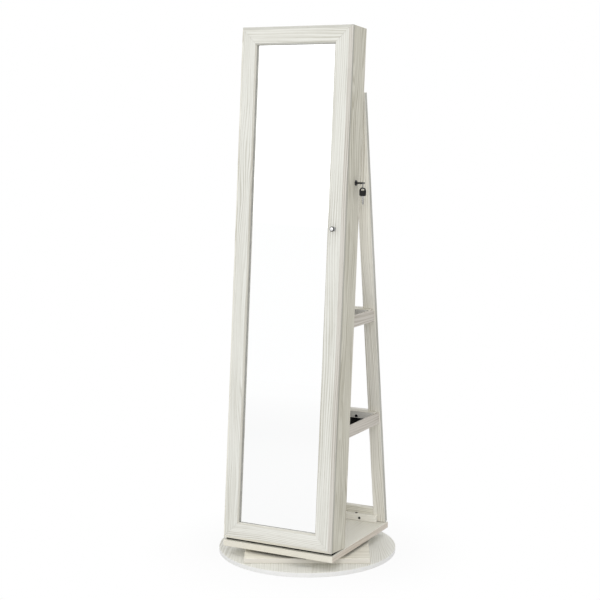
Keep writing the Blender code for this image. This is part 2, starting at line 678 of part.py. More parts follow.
def build_ring_rolls(low, middle, across, velvet, cabinet):
    """Cushion of soft rolls that hold rings between them."""
    half = ROLL_COUNT * ROLL_RADIUS
    profile = [(-half, 0.0), (half, 0.0)]
    steps = 8
    for index in range(ROLL_COUNT):
        centre = half - ROLL_RADIUS * (2 * index + 1)
        for step in range(steps + 1):
            if index and not step:
                continue
            angle = math.pi * step / steps
            across_roll = centre + ROLL_RADIUS * math.cos(angle)
            profile.append((across_roll, ROLL_BASE + ROLL_RADIUS * math.sin(angle)))
    length = 2 * (across - ROLL_SIDE_GAP)
    rolls = add_object("ring_cushion", outline_solid([profile], length), velvet, cabinet, smooth=True)
    rolls.location = (-length / 2, middle, low)
    rolls.rotation_euler = (math.radians(90), 0.0, math.radians(90))


def build_necklace_rail(across, rear, wood, cabinet):
    """Board near the top of the lining with a row of tilted hooks."""
    front = rear - NECKLACE_RAIL_THICKNESS
    rail = board("necklace_rail", (-across, front, NECKLACE_RAIL_UP),
                 (across, rear, NECKLACE_RAIL_UP + NECKLACE_RAIL_HEIGHT), wood, cabinet, edge=0)
    hooks = bmesh.new()
    tilt = math.radians(HOOK_TILT)
    middle = NECKLACE_RAIL_UP + NECKLACE_RAIL_HEIGHT / 2
    for index in range(HOOK_COUNT):
        x = (index - (HOOK_COUNT - 1) / 2) * HOOK_PITCH
        root = Vector((x, front + NECKLACE_RAIL_THICKNESS / 2, middle))
        length = HOOK_REACH + NECKLACE_RAIL_THICKNESS / 2
        tip = root + Vector((0.0, -math.cos(tilt), math.sin(tilt))) * length
        peg = rod_solid(HOOK_RADIUS, root, tip, 8)
        mesh = bpy.data.meshes.new("hook")
        peg.to_mesh(mesh)
        peg.free()
        hooks.from_mesh(mesh)
        bpy.data.meshes.remove(mesh)
    combine(rail, [add_object("necklace_hooks", hooks, None, cabinet)], "UNION")


def lock_axis_point():
    """Where the lock's axis leaves the outer face of the right side, in world space."""
    up = Vector((0.0, math.sin(LEAN_RAD), math.cos(LEAN_RAD)))
    back = Vector((0.0, math.cos(LEAN_RAD), -math.sin(LEAN_RAD)))
    outer_face = Vector((CABINET_WIDTH / 2, 0.0, 0.0))
    return CABINET_ORIGIN + outer_face + back * LOCK_BACK + up * LOCK_UP


def build_lock(lock, door):
    """Cam lock: its housing in the side, its plug with the hooked cam, the key and the door's strike."""
    dark = material("black_nickel", BLACK_NICKEL, 0.3, 1.0)
    bore = PLUG_RADIUS + RUN_GAP
    flange_face = SEAT_GAP + LOCK_FLANGE
    profile = [
        (bore, flange_face),
        (LOCK_FLANGE_RADIUS, flange_face),
        (LOCK_FLANGE_RADIUS, SEAT_GAP),
        (LOCK_BARREL_RADIUS, SEAT_GAP),
        (LOCK_BARREL_RADIUS, -LOCK_BARREL_LENGTH),
        (bore, -LOCK_BARREL_LENGTH),
        (bore, flange_face),
    ]
    housing = turned_object("lock_housing", profile, LOCK_SIDES, dark)
    housing.location = lock_axis_point()
    housing.rotation_euler = (0.0, math.radians(90), 0.0)
    cam_near = -LOCK_BARREL_LENGTH - RUN_GAP
    plug_face = flange_face - RUN_GAP
    plug = add_object("lock_plug", rod_solid(PLUG_RADIUS, (cam_near - CAM_THICKNESS / 2, 0, 0),
                                            (plug_face, 0, 0), LOCK_SIDES), dark, lock)
    half = CAM_WIDTH / 2
    rest_outline = [
        (half, -half),
        (half, CAM_REACH - CAM_HOOK),
        (CAM_HOOK_DROP, CAM_REACH - CAM_HOOK),
        (CAM_HOOK_DROP, CAM_REACH),
        (-half, CAM_REACH),
        (-half, -half),
    ]
    cam = outline_solid([rest_outline], CAM_THICKNESS)
    upright = Matrix(((0, 0, -1, 0), (-1, 0, 0, 0), (0, 1, 0, 0), (0, 0, 0, 1)))
    along_cabinet = Matrix.Rotation(-LEAN_RAD, 4, "X")
    bmesh.ops.transform(cam, matrix=along_cabinet @ upright, verts=cam.verts)
    bmesh.ops.translate(cam, verts=cam.verts, vec=(cam_near, 0.0, 0.0))
    keyway_half = BLADE_WIDTH / 2 + RUN_GAP
    keyway_rise = BLADE_THICKNESS / 2 + RUN_GAP
    keyway = box_solid((plug_face - BLADE_IN_LOCK - RUN_GAP, -keyway_half, -keyway_rise),
                       (plug_face + BLADE_IN_LOCK, keyway_half, keyway_rise))
    combine(plug, [add_object("cam_plate", cam, None, lock)], "UNION")
    combine(plug, [add_object("keyway", keyway, None, lock)], "DIFFERENCE")
    build_strike(cam_near, door)


def build_strike(cam_near, door):
    """U-shaped strike on the door that the cam's hook drops into."""
    back = DOOR_THICKNESS - HINGE_BACK + SEAT_GAP
    hook_front = LOCK_BACK - CAM_REACH - HINGE_BACK
    lip_front = hook_front + CAM_HOOK + STRIKE_CLEAR
    web_top = -CAM_HOOK_DROP - STRIKE_CLEAR
    lip_top = web_top + STRIKE_LIP
    profile = [
        (back, web_top - STRIKE_SHEET),
        (lip_front + STRIKE_SHEET, web_top - STRIKE_SHEET),
        (lip_front + STRIKE_SHEET, lip_top),
        (lip_front, lip_top),
        (lip_front, web_top),
        (back + STRIKE_SHEET, web_top),
        (back + STRIKE_SHEET, STRIKE_LIP),
        (back, STRIKE_LIP),
    ]
    nickel = material("nickel", STEEL, 0.3, 1.0)
    strike = add_object("lock_strike", outline_solid([profile], STRIKE_WIDTH), nickel, door)
    middle = CABINET_WIDTH / 2 + cam_near - CAM_THICKNESS / 2 - HINGE_X
    strike.location = (middle - STRIKE_WIDTH / 2, 0.0, LOCK_UP)
    strike.rotation_euler = (math.radians(90), 0.0, math.radians(90))


def key_solid(blade_length):
    """A key lying flat: its bow with a slot from X 0 outwards, and its blade towards -X."""
    half = BOW_WIDTH / 2
    bow = rounded_rectangle(0.0, -half, BOW_LENGTH, half, BOW_CORNER, BOW_ARCH, 6)
    slot_far = BOW_LENGTH - BOW_BRIDGE
    slot_half = BOW_SLOT_WIDTH / 2
    corner = BOW_SLOT_HEIGHT / 3
    slot = rounded_rectangle(slot_far - BOW_SLOT_HEIGHT, -slot_half, slot_far, slot_half, corner, corner, 3)
    solid = outline_solid([bow, slot], BOW_THICKNESS)
    bmesh.ops.translate(solid, verts=solid.verts, vec=(0.0, 0.0, -BOW_THICKNESS / 2))
    blade = box_solid((-blade_length, -BLADE_WIDTH / 2, -BLADE_THICKNESS / 2),
                      (BOW_LENGTH / 4, BLADE_WIDTH / 2, BLADE_THICKNESS / 2))
    return solid, blade


def build_keys(lock, swing):
    """The key in the lock, the ring through its bow and the spare key that hangs on the ring."""
    plastic = material("black_plastic", BLACK_PLASTIC, 0.45)
    face = SEAT_GAP + LOCK_FLANGE
    bow_start = face + KEY_NECK
    bow, blade = key_solid(bow_start - face + RUN_GAP + BLADE_IN_LOCK)
    key = add_object("lock_key", bow, plastic, lock)
    key_blade = add_object("lock_key_blade", blade, None, lock)
    key.location = (bow_start, 0.0, 0.0)
    key_blade.location = key.location
    combine(key, [key_blade], "UNION")
    ring = bpy.data.curves.new("key_ring", "CURVE")
    ring.dimensions = "3D"
    ring.bevel_depth = RING_WIRE
    ring.bevel_resolution = 2
    spline = ring.splines.new("POLY")
    steps = 40
    spline.points.add(steps - 1)
    for index, point in enumerate(spline.points):
        angle = 2 * math.pi * index / steps
        point.co = (RING_RADIUS * math.cos(angle), 0.0, RING_RADIUS * math.sin(angle), 1.0)
    spline.use_cyclic_u = True
    ring.materials.append(material("chrome", CHROME, 0.08, 1.0))
    ring_object = bpy.data.objects.new("key_ring", ring)
    PARTS.objects.link(ring_object)
    ring_object.parent = swing
    bow, blade = key_solid(SPARE_BLADE_LENGTH)
    spare = add_object("spare_key", bow, plastic, swing)
    spare_blade = add_object("spare_key_blade", blade, None, swing)
    ring_low = -math.sqrt(RING_RADIUS ** 2 - (BOW_THICKNESS / 2) ** 2)
    bow_top = ring_low + RING_WIRE + SEAT_GAP + BOW_BRIDGE
    for item in (spare, spare_blade):
        item.location = (0.0, 0.0, bow_top - BOW_LENGTH)
        item.rotation_euler = (0.0, math.radians(-90), 0.0)
    combine(spare, [spare_blade], "UNION")


def ring_centre():
    """Centre of the key ring, counted from where the lock's axis leaves the side."""
    slot_middle = SEAT_GAP + LOCK_FLANGE + KEY_NECK + BOW_LENGTH - BOW_BRIDGE - BOW_SLOT_HEIGHT / 2
    out = math.sqrt(RING_RADIUS ** 2 - RING_DROP ** 2)
    turn = math.radians(RING_TURN)
    return Vector((slot_middle + out * math.cos(turn), out * math.sin(turn), -RING_DROP))


def build():
    """Builds every sub-assembly on its frame."""
    base = build_base()
    build_bearing(base)
    cabinet = frame("cabinet_frame", CABINET_ORIGIN, turn_x=-LEAN_RAD)
    hinge_line = (HINGE_X, HINGE_BACK, 0.0)
    cabinet_hinge = frame("cabinet_hinge_frame", hinge_line, parent=cabinet)
    door = frame("door_frame", hinge_line, parent=cabinet)
    legs = frame("leg_frame", LEG_ORIGIN, turn_x=LEG_RAD)
    lock = frame("lock_frame", lock_axis_point())
    swing = frame("spare_key_frame", ring_centre(), turn_z=math.radians(RING_TURN), parent=lock)
    build_cabinet(cabinet)
    build_door(door)
    build_hinges(cabinet_hinge, door)
    build_legs(legs)
    build_stretcher(cabinet)
    for name, bottom in TRAY_HEIGHTS.items():
        build_tray(name, bottom, legs)
    build_inside(cabinet)
    build_lock(lock, door)
    build_keys(lock, swing)


clear_scene()
PARTS = collection("rotating_jewelry_armoire")
CUTTERS = collection("cutters")
build()
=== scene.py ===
"""Looks of the rotating jewelry armoire: materials, fittings, soft pieces, floor, light and camera.

Metres, +Z up, the mirror door faces -Y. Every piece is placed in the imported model's frame.
"""
import math

import bmesh
import bpy
from mathutils import Matrix, Vector


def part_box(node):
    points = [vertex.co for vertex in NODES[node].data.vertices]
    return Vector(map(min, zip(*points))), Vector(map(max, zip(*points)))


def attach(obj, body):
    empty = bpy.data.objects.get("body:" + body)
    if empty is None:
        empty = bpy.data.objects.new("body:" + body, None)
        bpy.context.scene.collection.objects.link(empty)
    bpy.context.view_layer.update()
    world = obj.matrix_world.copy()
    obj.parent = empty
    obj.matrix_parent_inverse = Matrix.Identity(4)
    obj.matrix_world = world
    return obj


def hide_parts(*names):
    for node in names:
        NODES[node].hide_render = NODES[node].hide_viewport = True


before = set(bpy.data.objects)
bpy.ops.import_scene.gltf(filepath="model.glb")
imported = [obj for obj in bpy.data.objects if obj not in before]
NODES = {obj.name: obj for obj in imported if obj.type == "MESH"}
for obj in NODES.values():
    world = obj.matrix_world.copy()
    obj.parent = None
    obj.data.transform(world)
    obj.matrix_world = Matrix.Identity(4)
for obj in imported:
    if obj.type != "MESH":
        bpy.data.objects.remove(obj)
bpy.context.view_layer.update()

# Camera of the photograph: place, degrees, and lens and sensor in millimetres
CAMERA_AT = (1.943, -3.774, 1.370)
CAMERA_YAW = 27.55
CAMERA_PITCH = -7.843
CAMERA_LENS = 84.25
CAMERA_SENSOR = 36.0

# Light and floor. A lamp has a name, place, aim, size and power. FLOOR_PLAIN, for the camera, and FLOOR_GLOSS,
# for mirrors, have two distances from the middle and the share of plain white at both.
WORLD_LIGHT = 0.75
LAMPS = (
    ("front_light", (1.7, -4.6, 2.2), (0.0, 0.0, 0.8), 2.2, 49.0),
    ("left_light", (-2.6, -3.6, 2.4), (0.0, 0.0, 0.8), 2.2, 5.9),
    ("top_light", (0.3, -0.6, 4.6), (0.0, 0.0, 0.4), 2.6, 29.5),
)
WHITE = (1.0, 1.0, 1.0, 1.0)
FLOOR_REACH = 12.0
FLOOR_COLOUR = (0.86, 0.86, 0.86, 1.0)
FLOOR_PLAIN = (0.29, 0.52, 0.90, 1.0)
FLOOR_GLOSS = (1.0, 10.5, 0.74, 0.985)

# Gaps between a fitting and the piece it sits on, and the small bevel of thin pieces
HAIR_GAP = 0.0001
SEAT_GAP = 0.0002
CAD_GAP = 0.0003
FINE_BEVEL = 0.0002

# Leaning cabinet: its frame has x, the depth behind the door's face and the height up the lean
LEAN = math.radians(5.0)
CABINET_ORIGIN = Vector((0.0, -0.211, 0.068716))
CABINET = Matrix.Translation(CABINET_ORIGIN) @ Matrix.Rotation(-LEAN, 4, "X")
CABINET_WIDTH = 0.366
CABINET_HEIGHT = 1.542
CARCASS_FRONT = 0.0205
PANEL = 0.012
LINER_FRONT = 0.0932
INNER_HALF = CABINET_WIDTH / 2 - PANEL

# Door: heights up the lean, clips behind the mirror, bumpers and catch. An outline holds what rounded takes.
DOOR_BACK = 0.019
FRAME_WIDTH = 0.0532
FRAME_CHAMFER = 0.009
KNOB_UP = 0.953
# Section of the grey bead that paints the shadow line round the mirror
BEAD_SECTION = ((0.0, 0.0100), (0.0009, 0.0107), (0.0011, 0.01165), (0.0, 0.01165))
CLIP_X = 0.1405
CLIP_UPS = (0.16, 0.45, 0.771, 1.03, 1.33)
END_CLIP_X = 0.07
END_CLIP_IN = 0.0425
CLIP_OUTLINE = (-0.0045, -0.006, 0.0045, 0.009, 0.0044, 0.0044, 6)
CLIP_THICK = 0.0008
CLIP_SCREW_UP = 0.0025
BUMPER_X = 0.177
BUMPER_UPS = (0.05, 0.60, CABINET_HEIGHT - 0.05)
CATCH_X = 0.1647
CATCH_UP = 1.396
CATCH_OUTLINE = (-0.0055, -0.019, 0.0055, 0.019, 0.003, 0.003, 5)
CATCH_THICK = 0.0009
CATCH_SCREW_UP = 0.014
POLE_XS = (0.1617, 0.1677)
POLE_LOW = (-0.0008, -0.011, 0.0)
POLE_HIGH = (0.0008, 0.011, 0.0005)
HINGE_MIDDLES = (0.130, 0.771, 1.412)
HINGE_SCREW_X = -0.18455
HINGE_SCREW_STEPS = (-0.017, 0.0, 0.017)
CARCASS_LEAF_BACK = 0.02855
DOOR_LEAF_BACK = 0.01375

# Inside of the cabinet
SHELF_UNDERS = (0.240, 0.480, 0.730)
RING_SHELF_TOP = 0.738
SHELF_SETBACK = 0.012
PIN_BACKS = (0.046, 0.080)
PIN_DROP = 0.0047
CAP_UPS = (0.034, CABINET_HEIGHT - 0.034)
CAP_BACKS = (0.042, 0.078)
HOOK_COUNT = 9
HOOK_PITCH = 0.034
HOOK_BACK = 0.0879
HOOK_UP = 1.469
HOOK_TILT = 18.0
COMB_LOW = 0.930
COMB_TOP = 0.942
COMB_BACK = 0.0672
COMB_THICK = 0.005
NOTCH_COUNT = 38
NOTCH_PITCH = 0.0085
NOTCH_MOUTH = 0.0017
NOTCH_HALF = 0.0010
NOTCH_LIP = 0.0010
NOTCH_DEEP = 0.0045
ROLL_COUNT = 4
ROLL_LENGTH = 0.3334
ROLL_RADIUS = 0.0068
ROLL_MIDDLE = 0.0066
ROLL_END = 0.0065
ROLL_FULLNESS = 0.985
ROLL_SQUEEZE = 0.99
ROLL_SIDES = 20
ROLL_STEPS = 90
DENT_DEPTH, DENT_WAVE, DENT_SHIFT = 0.035, 190.0, 1.9
SAG_DEPTH, SAG_WAVE = 0.02, 71.0
RIPPLE_DEPTH, RIPPLE_WAVE = 0.02, 260.0

# Lock and keys: the lock's frame lies where its axis leaves the right side
LOCK = Matrix.Translation(CABINET @ Vector((0.183, 0.069, 1.090)))
BORE = 0.0056
BARREL = 0.0068
BARREL_END = -0.0220
THREAD_ROOT = 0.0064
THREAD_TURNS = 8
THREAD_PITCH = 0.0011
THREAD_CREST_AT = -0.0125
THREAD_ROOT_AT = -0.0130
BEZEL_PROFILE = [
    (BORE, 0.0019), (BORE + 0.0004, 0.0023), (0.0070, 0.0023), (0.0078, 0.0020), (0.0082, 0.0013),
    (0.0082, 0.0003), (BARREL, 0.0003), (BARREL, -0.0120),
]
NUT_SIDES = 48
NUT_HOLE = 0.0070
NUT_PROFILE = ((0.0098, -0.0123), (0.0103, -0.0130), (0.0103, -0.0155), (0.0098, -0.0162))
BOW_LENGTH = 0.025
BOW_THICK = 0.0044
BOW_BEVEL = 0.0008
BOW_SIDES = 72
BOW_OUTLINE = (0.0, -0.010, BOW_LENGTH, 0.010, 0.004, 0.0098, 8)
SLOT_FAR = BOW_LENGTH - 0.004
SLOT_DEEP = 0.0052
SLOT_OUTLINE = (SLOT_FAR - SLOT_DEEP, -0.0044, SLOT_FAR, 0.0044, 0.0016, 0.0019, 4)
RIB_COUNT = 4
RIB_START = 0.0035
RIB_PITCH = 0.0025
RIB_WIDTH = 0.0013
RIB_HALF = 0.0065
RIB_RISE = 0.00035
BLADE_THICK = 0.0019
BLADE_BEVEL = 0.00025
BLADE_COLLAR = [(-0.0001, 0.0045), (-0.0016, 0.0045), (-0.0020, 0.0035)]
BLADE_TIP = [(0.003, 0.0035), (0.0, 0.0008), (0.0, -0.0002)]
LOCK_KEY_OUT = 0.0033
LOCK_BLADE = 0.0138
SPARE_BLADE = 0.026
LOCK_TEETH = [
    (-0.0045, -0.0035), (-0.0055, -0.0022), (-0.0075, -0.0022), (-0.0088, -0.0031), (-0.0098, -0.0012),
    (-0.0115, -0.0012), (-0.0128, -0.0027),
]
SPARE_TEETH = LOCK_TEETH + [
    (-0.0142, -0.0027), (-0.0155, -0.0008), (-0.0172, -0.0008), (-0.0185, -0.0024), (-0.0205, -0.0024),
    (-0.0218, -0.0012),
]
SPARE_TOP = -0.005367
RING_RADIUS = 0.0105
RING_CENTRE = (0.0257, -0.006929, -0.0068)
RING_TURN = -60.0
RING_WIRE = 0.00042
RING_PITCH = 0.00086
RING_STEPS = 56
RING_COILS = 2
RING_START = 0.7
RING_CROSS_AT = 0.85
RING_CROSS_SPAN = 0.3
WIRE_SIDES = 10

# Rear leg frame: its frame has x, the depth behind its rear face and the length up the leg
LEG_LEAN = math.radians(7.3395)
LEG_ORIGIN = Vector((0.0, 0.200, 0.0597))
LEGS = Matrix.Translation(LEG_ORIGIN) @ Matrix.Rotation(LEG_LEAN, 4, "X")
RAIL_FACE = 0.0339
TRAY_BOLT_XS = (-0.110, 0.110)
TRAY_BOLT_UPS = (0.360, 0.6917)
LEG_SCREW_XS = (-0.163, 0.163)
LEG_SCREW_UPS = (0.018, 0.034, 0.345, 0.366, 0.677, 0.698, 1.318, 1.338)
BATTEN_FRONT, BATTEN_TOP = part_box("foot_batten")[0][1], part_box("foot_batten")[1][2]
BATTEN_MIDDLE = 0.0686
BATTEN_SCREW_XS = (-0.0998, 0.0, 0.0998)
TOP_SCREW_XS = (-0.0865, 0.0865)
TOP_SCREW_IN = 0.006

# Round base, swivel board and black felt that paints the shade in the gaps under the swivel board and the
# cabinet. Each end of a side strip has a depth in the cabinet's frame and a drop below it.
BASE_TURN = math.radians(27.0)
SWIVEL_WIDTH = 0.371
SWIVEL_DEPTH = 0.402
SWIVEL_BOTTOM = 0.0404
SWIVEL_TOP = 0.0597
RUNNER_LENGTH = 0.190
RUNNER_DEPTH = 0.008
RUNNER_HEIGHT = 0.0038
RUNNER_SETBACK = 0.006
RUNNER_BEVEL = 0.0007
STRIP_SETBACK = 0.003
FRONT_STRIP_SETBACK = 0.0115
STRIP_DEPTH = 0.006
STRIP_HEIGHT = 0.0026
STRIP_BEVEL = 0.0006
SIDE_STRIP_ENDS = ((CARCASS_FRONT + 0.001, 0.0012), (0.088, 0.0004))

# Heads of bolts and screws: radius and height, then the shares of both that shape a head
TRAY_BOLT = (0.0046, 0.0024)
LEG_SCREW = (0.0040, 0.0011)
BATTEN_SCREW = (0.0040, 0.0012)
TOP_SCREW = (0.0044, 0.0014)
HINGE_SCREW = (0.0021, 0.0007)
CLIP_SCREW = (0.0022, 0.0006)
CATCH_SCREW = (0.0022, 0.0005)
HEAD_SIDES = 24
SOCKET_DOME = ((1.0, 0.0), (1.0, 0.35), (0.88, 0.75), (0.66, 1.0))
SOCKET_SHARE = 0.52
SOCKET_TAPER = 0.97
SOCKET_DEPTH = 0.6
CROSS_RIM = 0.4
CROSS_SHARES = (0.85, 0.62, 0.4, 0.2)
CROSS_REACH = 0.65
CROSS_HALF = 0.14
CROSS_DEPTH = 0.55

# Turned fittings: sides, and profiles of radius and height over the face they sit on
KNOB_SIDES = 48
BEZEL_SIDES = 40
CAP_SIDES = 28
BUMPER_SIDES = 24
PIN_SIDES = 20
KNOB_PROFILE = (
    (0.0065, 0.0), (0.0065, 0.0012), (0.0060, 0.0019), (0.0042, 0.0023), (0.0036, 0.0030), (0.0035, 0.0055),
    (0.0041, 0.0068), (0.0058, 0.0082), (0.0070, 0.0098), (0.0075, 0.0118), (0.0075, 0.0130), (0.0, 0.0130),
)
KNOB_RING_PROFILE = (
    (0.0058, 0.0131), (0.0074, 0.0131), (0.0075, 0.0140), (0.0072, 0.0148), (0.0066, 0.0153), (0.0058, 0.0154),
)
KNOB_FACE_PROFILE = (
    (0.0057, 0.0131), (0.0057, 0.0156), (0.0052, 0.0169), (0.0041, 0.0180), (0.0023, 0.0187), (0.0, 0.0190),
)
BOLT_END_PROFILE = (
    (0.0072, 0.0), (0.0072, 0.0007), (0.0066, 0.0011), (0.0030, 0.0011), (0.0026, 0.0022), (0.0, 0.0026),
)
BUMPER_PROFILE = ((0.0040, 0.0), (0.0040, 0.0005), (0.0036, 0.0009), (0.0024, 0.0012), (0.0, 0.0013))
PIN_PROFILE = (
    (0.0044, 0.0), (0.0044, 0.0007), (0.0026, 0.0010), (0.0025, 0.0075), (0.0018, 0.0082), (0.0, 0.0083),
)
CAP_PROFILE = ((0.0080, 0.0), (0.0080, 0.0004), (0.0074, 0.0009), (0.0020, 0.0011), (0.0, 0.0011))
HOOK_TIP_PROFILE = (
    (0.0022, 0.0196), (0.0030, 0.0200), (0.0035, 0.0214), (0.0034, 0.0229), (0.0025, 0.0241), (0.0, 0.0246),
)

# Colours, and tones that multiply the colours of the foil. Many tones are painted light and shade: lighter
# copies of the foil for pieces in shade and darker copies for faces that look away from the light.
PALE = (0.855, 0.852, 0.800)
GRAIN = (0.50, 0.480, 0.405)
EDGE_BEIGE = (0.83, 0.80, 0.70)
EDGE_WHITE = (0.86, 0.86, 0.845)
PLATFORM_EDGE = (0.79, 0.76, 0.69)
# Painted light: a near-white colour for the upright faces of the trays' rear rails
TRAY_FACE_LIT = (0.97, 0.95, 0.90)
BLACK = (0.012, 0.012, 0.013)
FLOCK = (0.024, 0.024, 0.026)
STILE_TONE = (0.952, 0.954, 0.95)
TOP_TONE = (0.94, 0.94, 0.93)
# Painted shade: a darker copy of the foil for the side panels
SIDE_SHADE_TONE = (0.765, 0.745, 0.68)
BACK_TONE = (1.10, 1.09, 1.07)
# Painted light and shade on the door frame's chamfers, by the way each looks: this tone and the next five
CHAMFER_TONE = (0.86, 0.845, 0.81)
RIGHT_CHAMFER_TONE = (0.83, 0.80, 0.785)
LEFT_CHAMFER_TONE = (1.14, 1.12, 1.08)
LEFT_BEVEL_TONE = (0.79, 0.775, 0.745)
LOW_CHAMFER_TONE = (1.12, 1.10, 1.06)
TOP_CHAMFER_TONE = (0.72, 0.72, 0.705)
# Painted shade: a darker copy of the foil for the door's narrow side faces
DOOR_FLANK_SHADE = (0.557, 0.548, 0.513)
# Painted light: a lighter copy of the foil for the legs behind the cabinet
LEG_LIT_TONE = (1.05, 1.032, 1.018)
# Painted shade: a darker copy of the foil for the legs' narrow side faces
LEG_FLANK_SHADE = (0.60, 0.60, 0.585)
RAIL_TONE = (1.03, 1.01, 1.0)
# Painted light: a lighter copy of the foil for the foot batten, which lies in shade
BATTEN_LIT_TONE = (1.11, 1.09, 1.08)
# Painted shade: a darker copy for the rear rails' top and bottom faces, against their painted light upright
# faces
TRAY_TOP_SHADE = (0.86, 0.84, 0.80)
FOOT_TONE = (1.02, 1.0, 0.96)
# Painted shade: a darker copy of the foil for the trays' other boards
DEEP_SHADE_TONE = (0.724, 0.684, 0.66)
# Painted light: a lighter copy of the foil for the platform in the swivel board's shade
BOARD_LIT_TONE = (1.10, 1.07, 1.01)
SWIVEL_TONE = (1.0, 0.983, 0.945)
# Painted shade: a darker copy of the foil for the swivel board's narrow side faces
SWIVEL_FLANK_SHADE = (0.80, 0.725, 0.672)

# Grain. A layer has its scale across, across and along the board, its detail, and where it starts and is full.
# Late wood is the dark part of a ring. The shares say how much each mark darkens the foil.
RING_SPACING = 0.0072
RING_SLANT = 0.7
SWELL_SCALE = (11.0, 11.0, 1.5)
STREAKS = ((290.0, 1.0, 3.2), 2.0, 0.42, 0.70)
FINE_LINES = ((620.0, 1.0, 11.0), 2.0, 0.45, 0.75)
PORES = ((950.0, 950.0, 34.0), 2.0, 0.60, 0.70)
CLOUDS = ((17.0, 17.0, 3.0), 3.0, 0.34, 0.66)
LATE_RISE = (0.30, 0.86)
LATE_FALL = (0.90, 1.0)
LATE_SHARE = 0.16
CLOUD_SHARE = 0.46
STREAK_SHARE = 0.34
FINE_SHARE = 0.14
PORE_SHARE = 0.12
LATE_PORE_SHARE = 0.30
EDGE_STREAKS = 0.3
EDGE_DARKEST = 0.86

# How far a face has to look in a direction to start to take a colour, and to take all of it
LEVEL_FADE = (0.25, 0.6)
# The front, rear, slope and side-face fades shape painted light and shade on the door's chamfers and narrow
# faces
FRONT_FADE = (0.82, 0.95)
REAR_FADE = (0.3, 0.6)
SLOPE_FADE = (0.25, 0.5)
FLANK_FADE = (0.75, 0.9)
LINED_FADE = (0.8, 0.95)


# Materials

def add_node(tree, kind, **settings):
    made = tree.nodes.new(kind)
    for key, value in settings.items():
        setattr(made, key, value)
    return made


def plug(tree, socket, value):
    """Links an input to another node's output, or sets its value."""
    if isinstance(value, bpy.types.NodeSocket):
        tree.links.new(value, socket)
    else:
        socket.default_value = value


def fill(tree, node, **values):
    """Plugs a node's inputs by their names, with _ for a space."""
    for key, value in values.items():
        plug(tree, node.inputs[key.replace("_", " ")], value)
    return node


class Shade:
    """A node material that is put together from small steps."""

    def __init__(self, name):
        self.material = bpy.data.materials.new(name)
        self.material.use_nodes = True
        self.tree = self.material.node_tree
        self.shader = self.tree.nodes["Principled BSDF"]
        self.coords = self.node("ShaderNodeTexCoord")

    def node(self, kind, **settings):
        return add_node(self.tree, kind, **settings)

    def step(self, kind, **inputs):
        return fill(self.tree, self.node(kind), **inputs)

    def place(self, vector, scale=(1, 1, 1), turn=(0, 0, 0), shift=(0, 0, 0)):
        made = self.step("ShaderNodeMapping", Vector=vector, Scale=scale, Rotation=turn, Location=shift)
        return made.outputs["Vector"]

    def noise(self, vector, scale, detail, roughness=0.5):
        made = self.step("ShaderNodeTexNoise", Vector=vector, Scale=scale, Detail=detail, Roughness=roughness)
        return made.outputs["Fac"]

    def math(self, operation, first, second=0.0, third=0.0, clamp=False):
        made = self.node("ShaderNodeMath", operation=operation, use_clamp=clamp)
        for socket, value in zip(made.inputs, (first, second, third)):
            plug(self.tree, socket, value)
        return made.outputs[0]

    def ramp(self, value, low, high, start=0.0, end=1.0):
        made = self.node("ShaderNodeMapRange", clamp=True, interpolation_type="SMOOTHSTEP")
        fill(self.tree, made, Value=value, From_Min=low, From_Max=high, To_Min=start, To_Max=end)
        return made.outputs["Result"]

    def layer(self, vector, scale, detail, low, high):
        """Stretched noise, from 0 below one value to 1 above another."""
        return self.ramp(self.noise(self.place(vector, scale=scale), 1.0, detail), low, high)

    def mix(self, factor, first, second):
        made = self.node("ShaderNodeMix", data_type="RGBA", clamp_factor=True)
        plug(self.tree, made.inputs[0], factor)
        for socket, colour in ((made.inputs[6], first), (made.inputs[7], second)):
            plug(self.tree, socket, (*colour, 1.0) if isinstance(colour, tuple) else colour)
        return made.outputs[2]

    def facing(self, way):
        """How far the surface looks in a direction of the model's frame, from -1 to 1."""
        made = self.node("ShaderNodeVectorMath", operation="DOT_PRODUCT")
        plug(self.tree, made.inputs[0], self.coords.outputs["Normal"])
        plug(self.tree, made.inputs[1], way)
        return made.outputs["Value"]

    def bump(self, height, strength, distance):
        made = self.step("ShaderNodeBump", Strength=strength, Distance=distance, Height=height)
        self.set(Normal=made.outputs["Normal"])

    def set(self, **values):
        for key, value in values.items():
            fill(self.tree, self.shader, **{key: (*value, 1.0) if isinstance(value, tuple) else value})


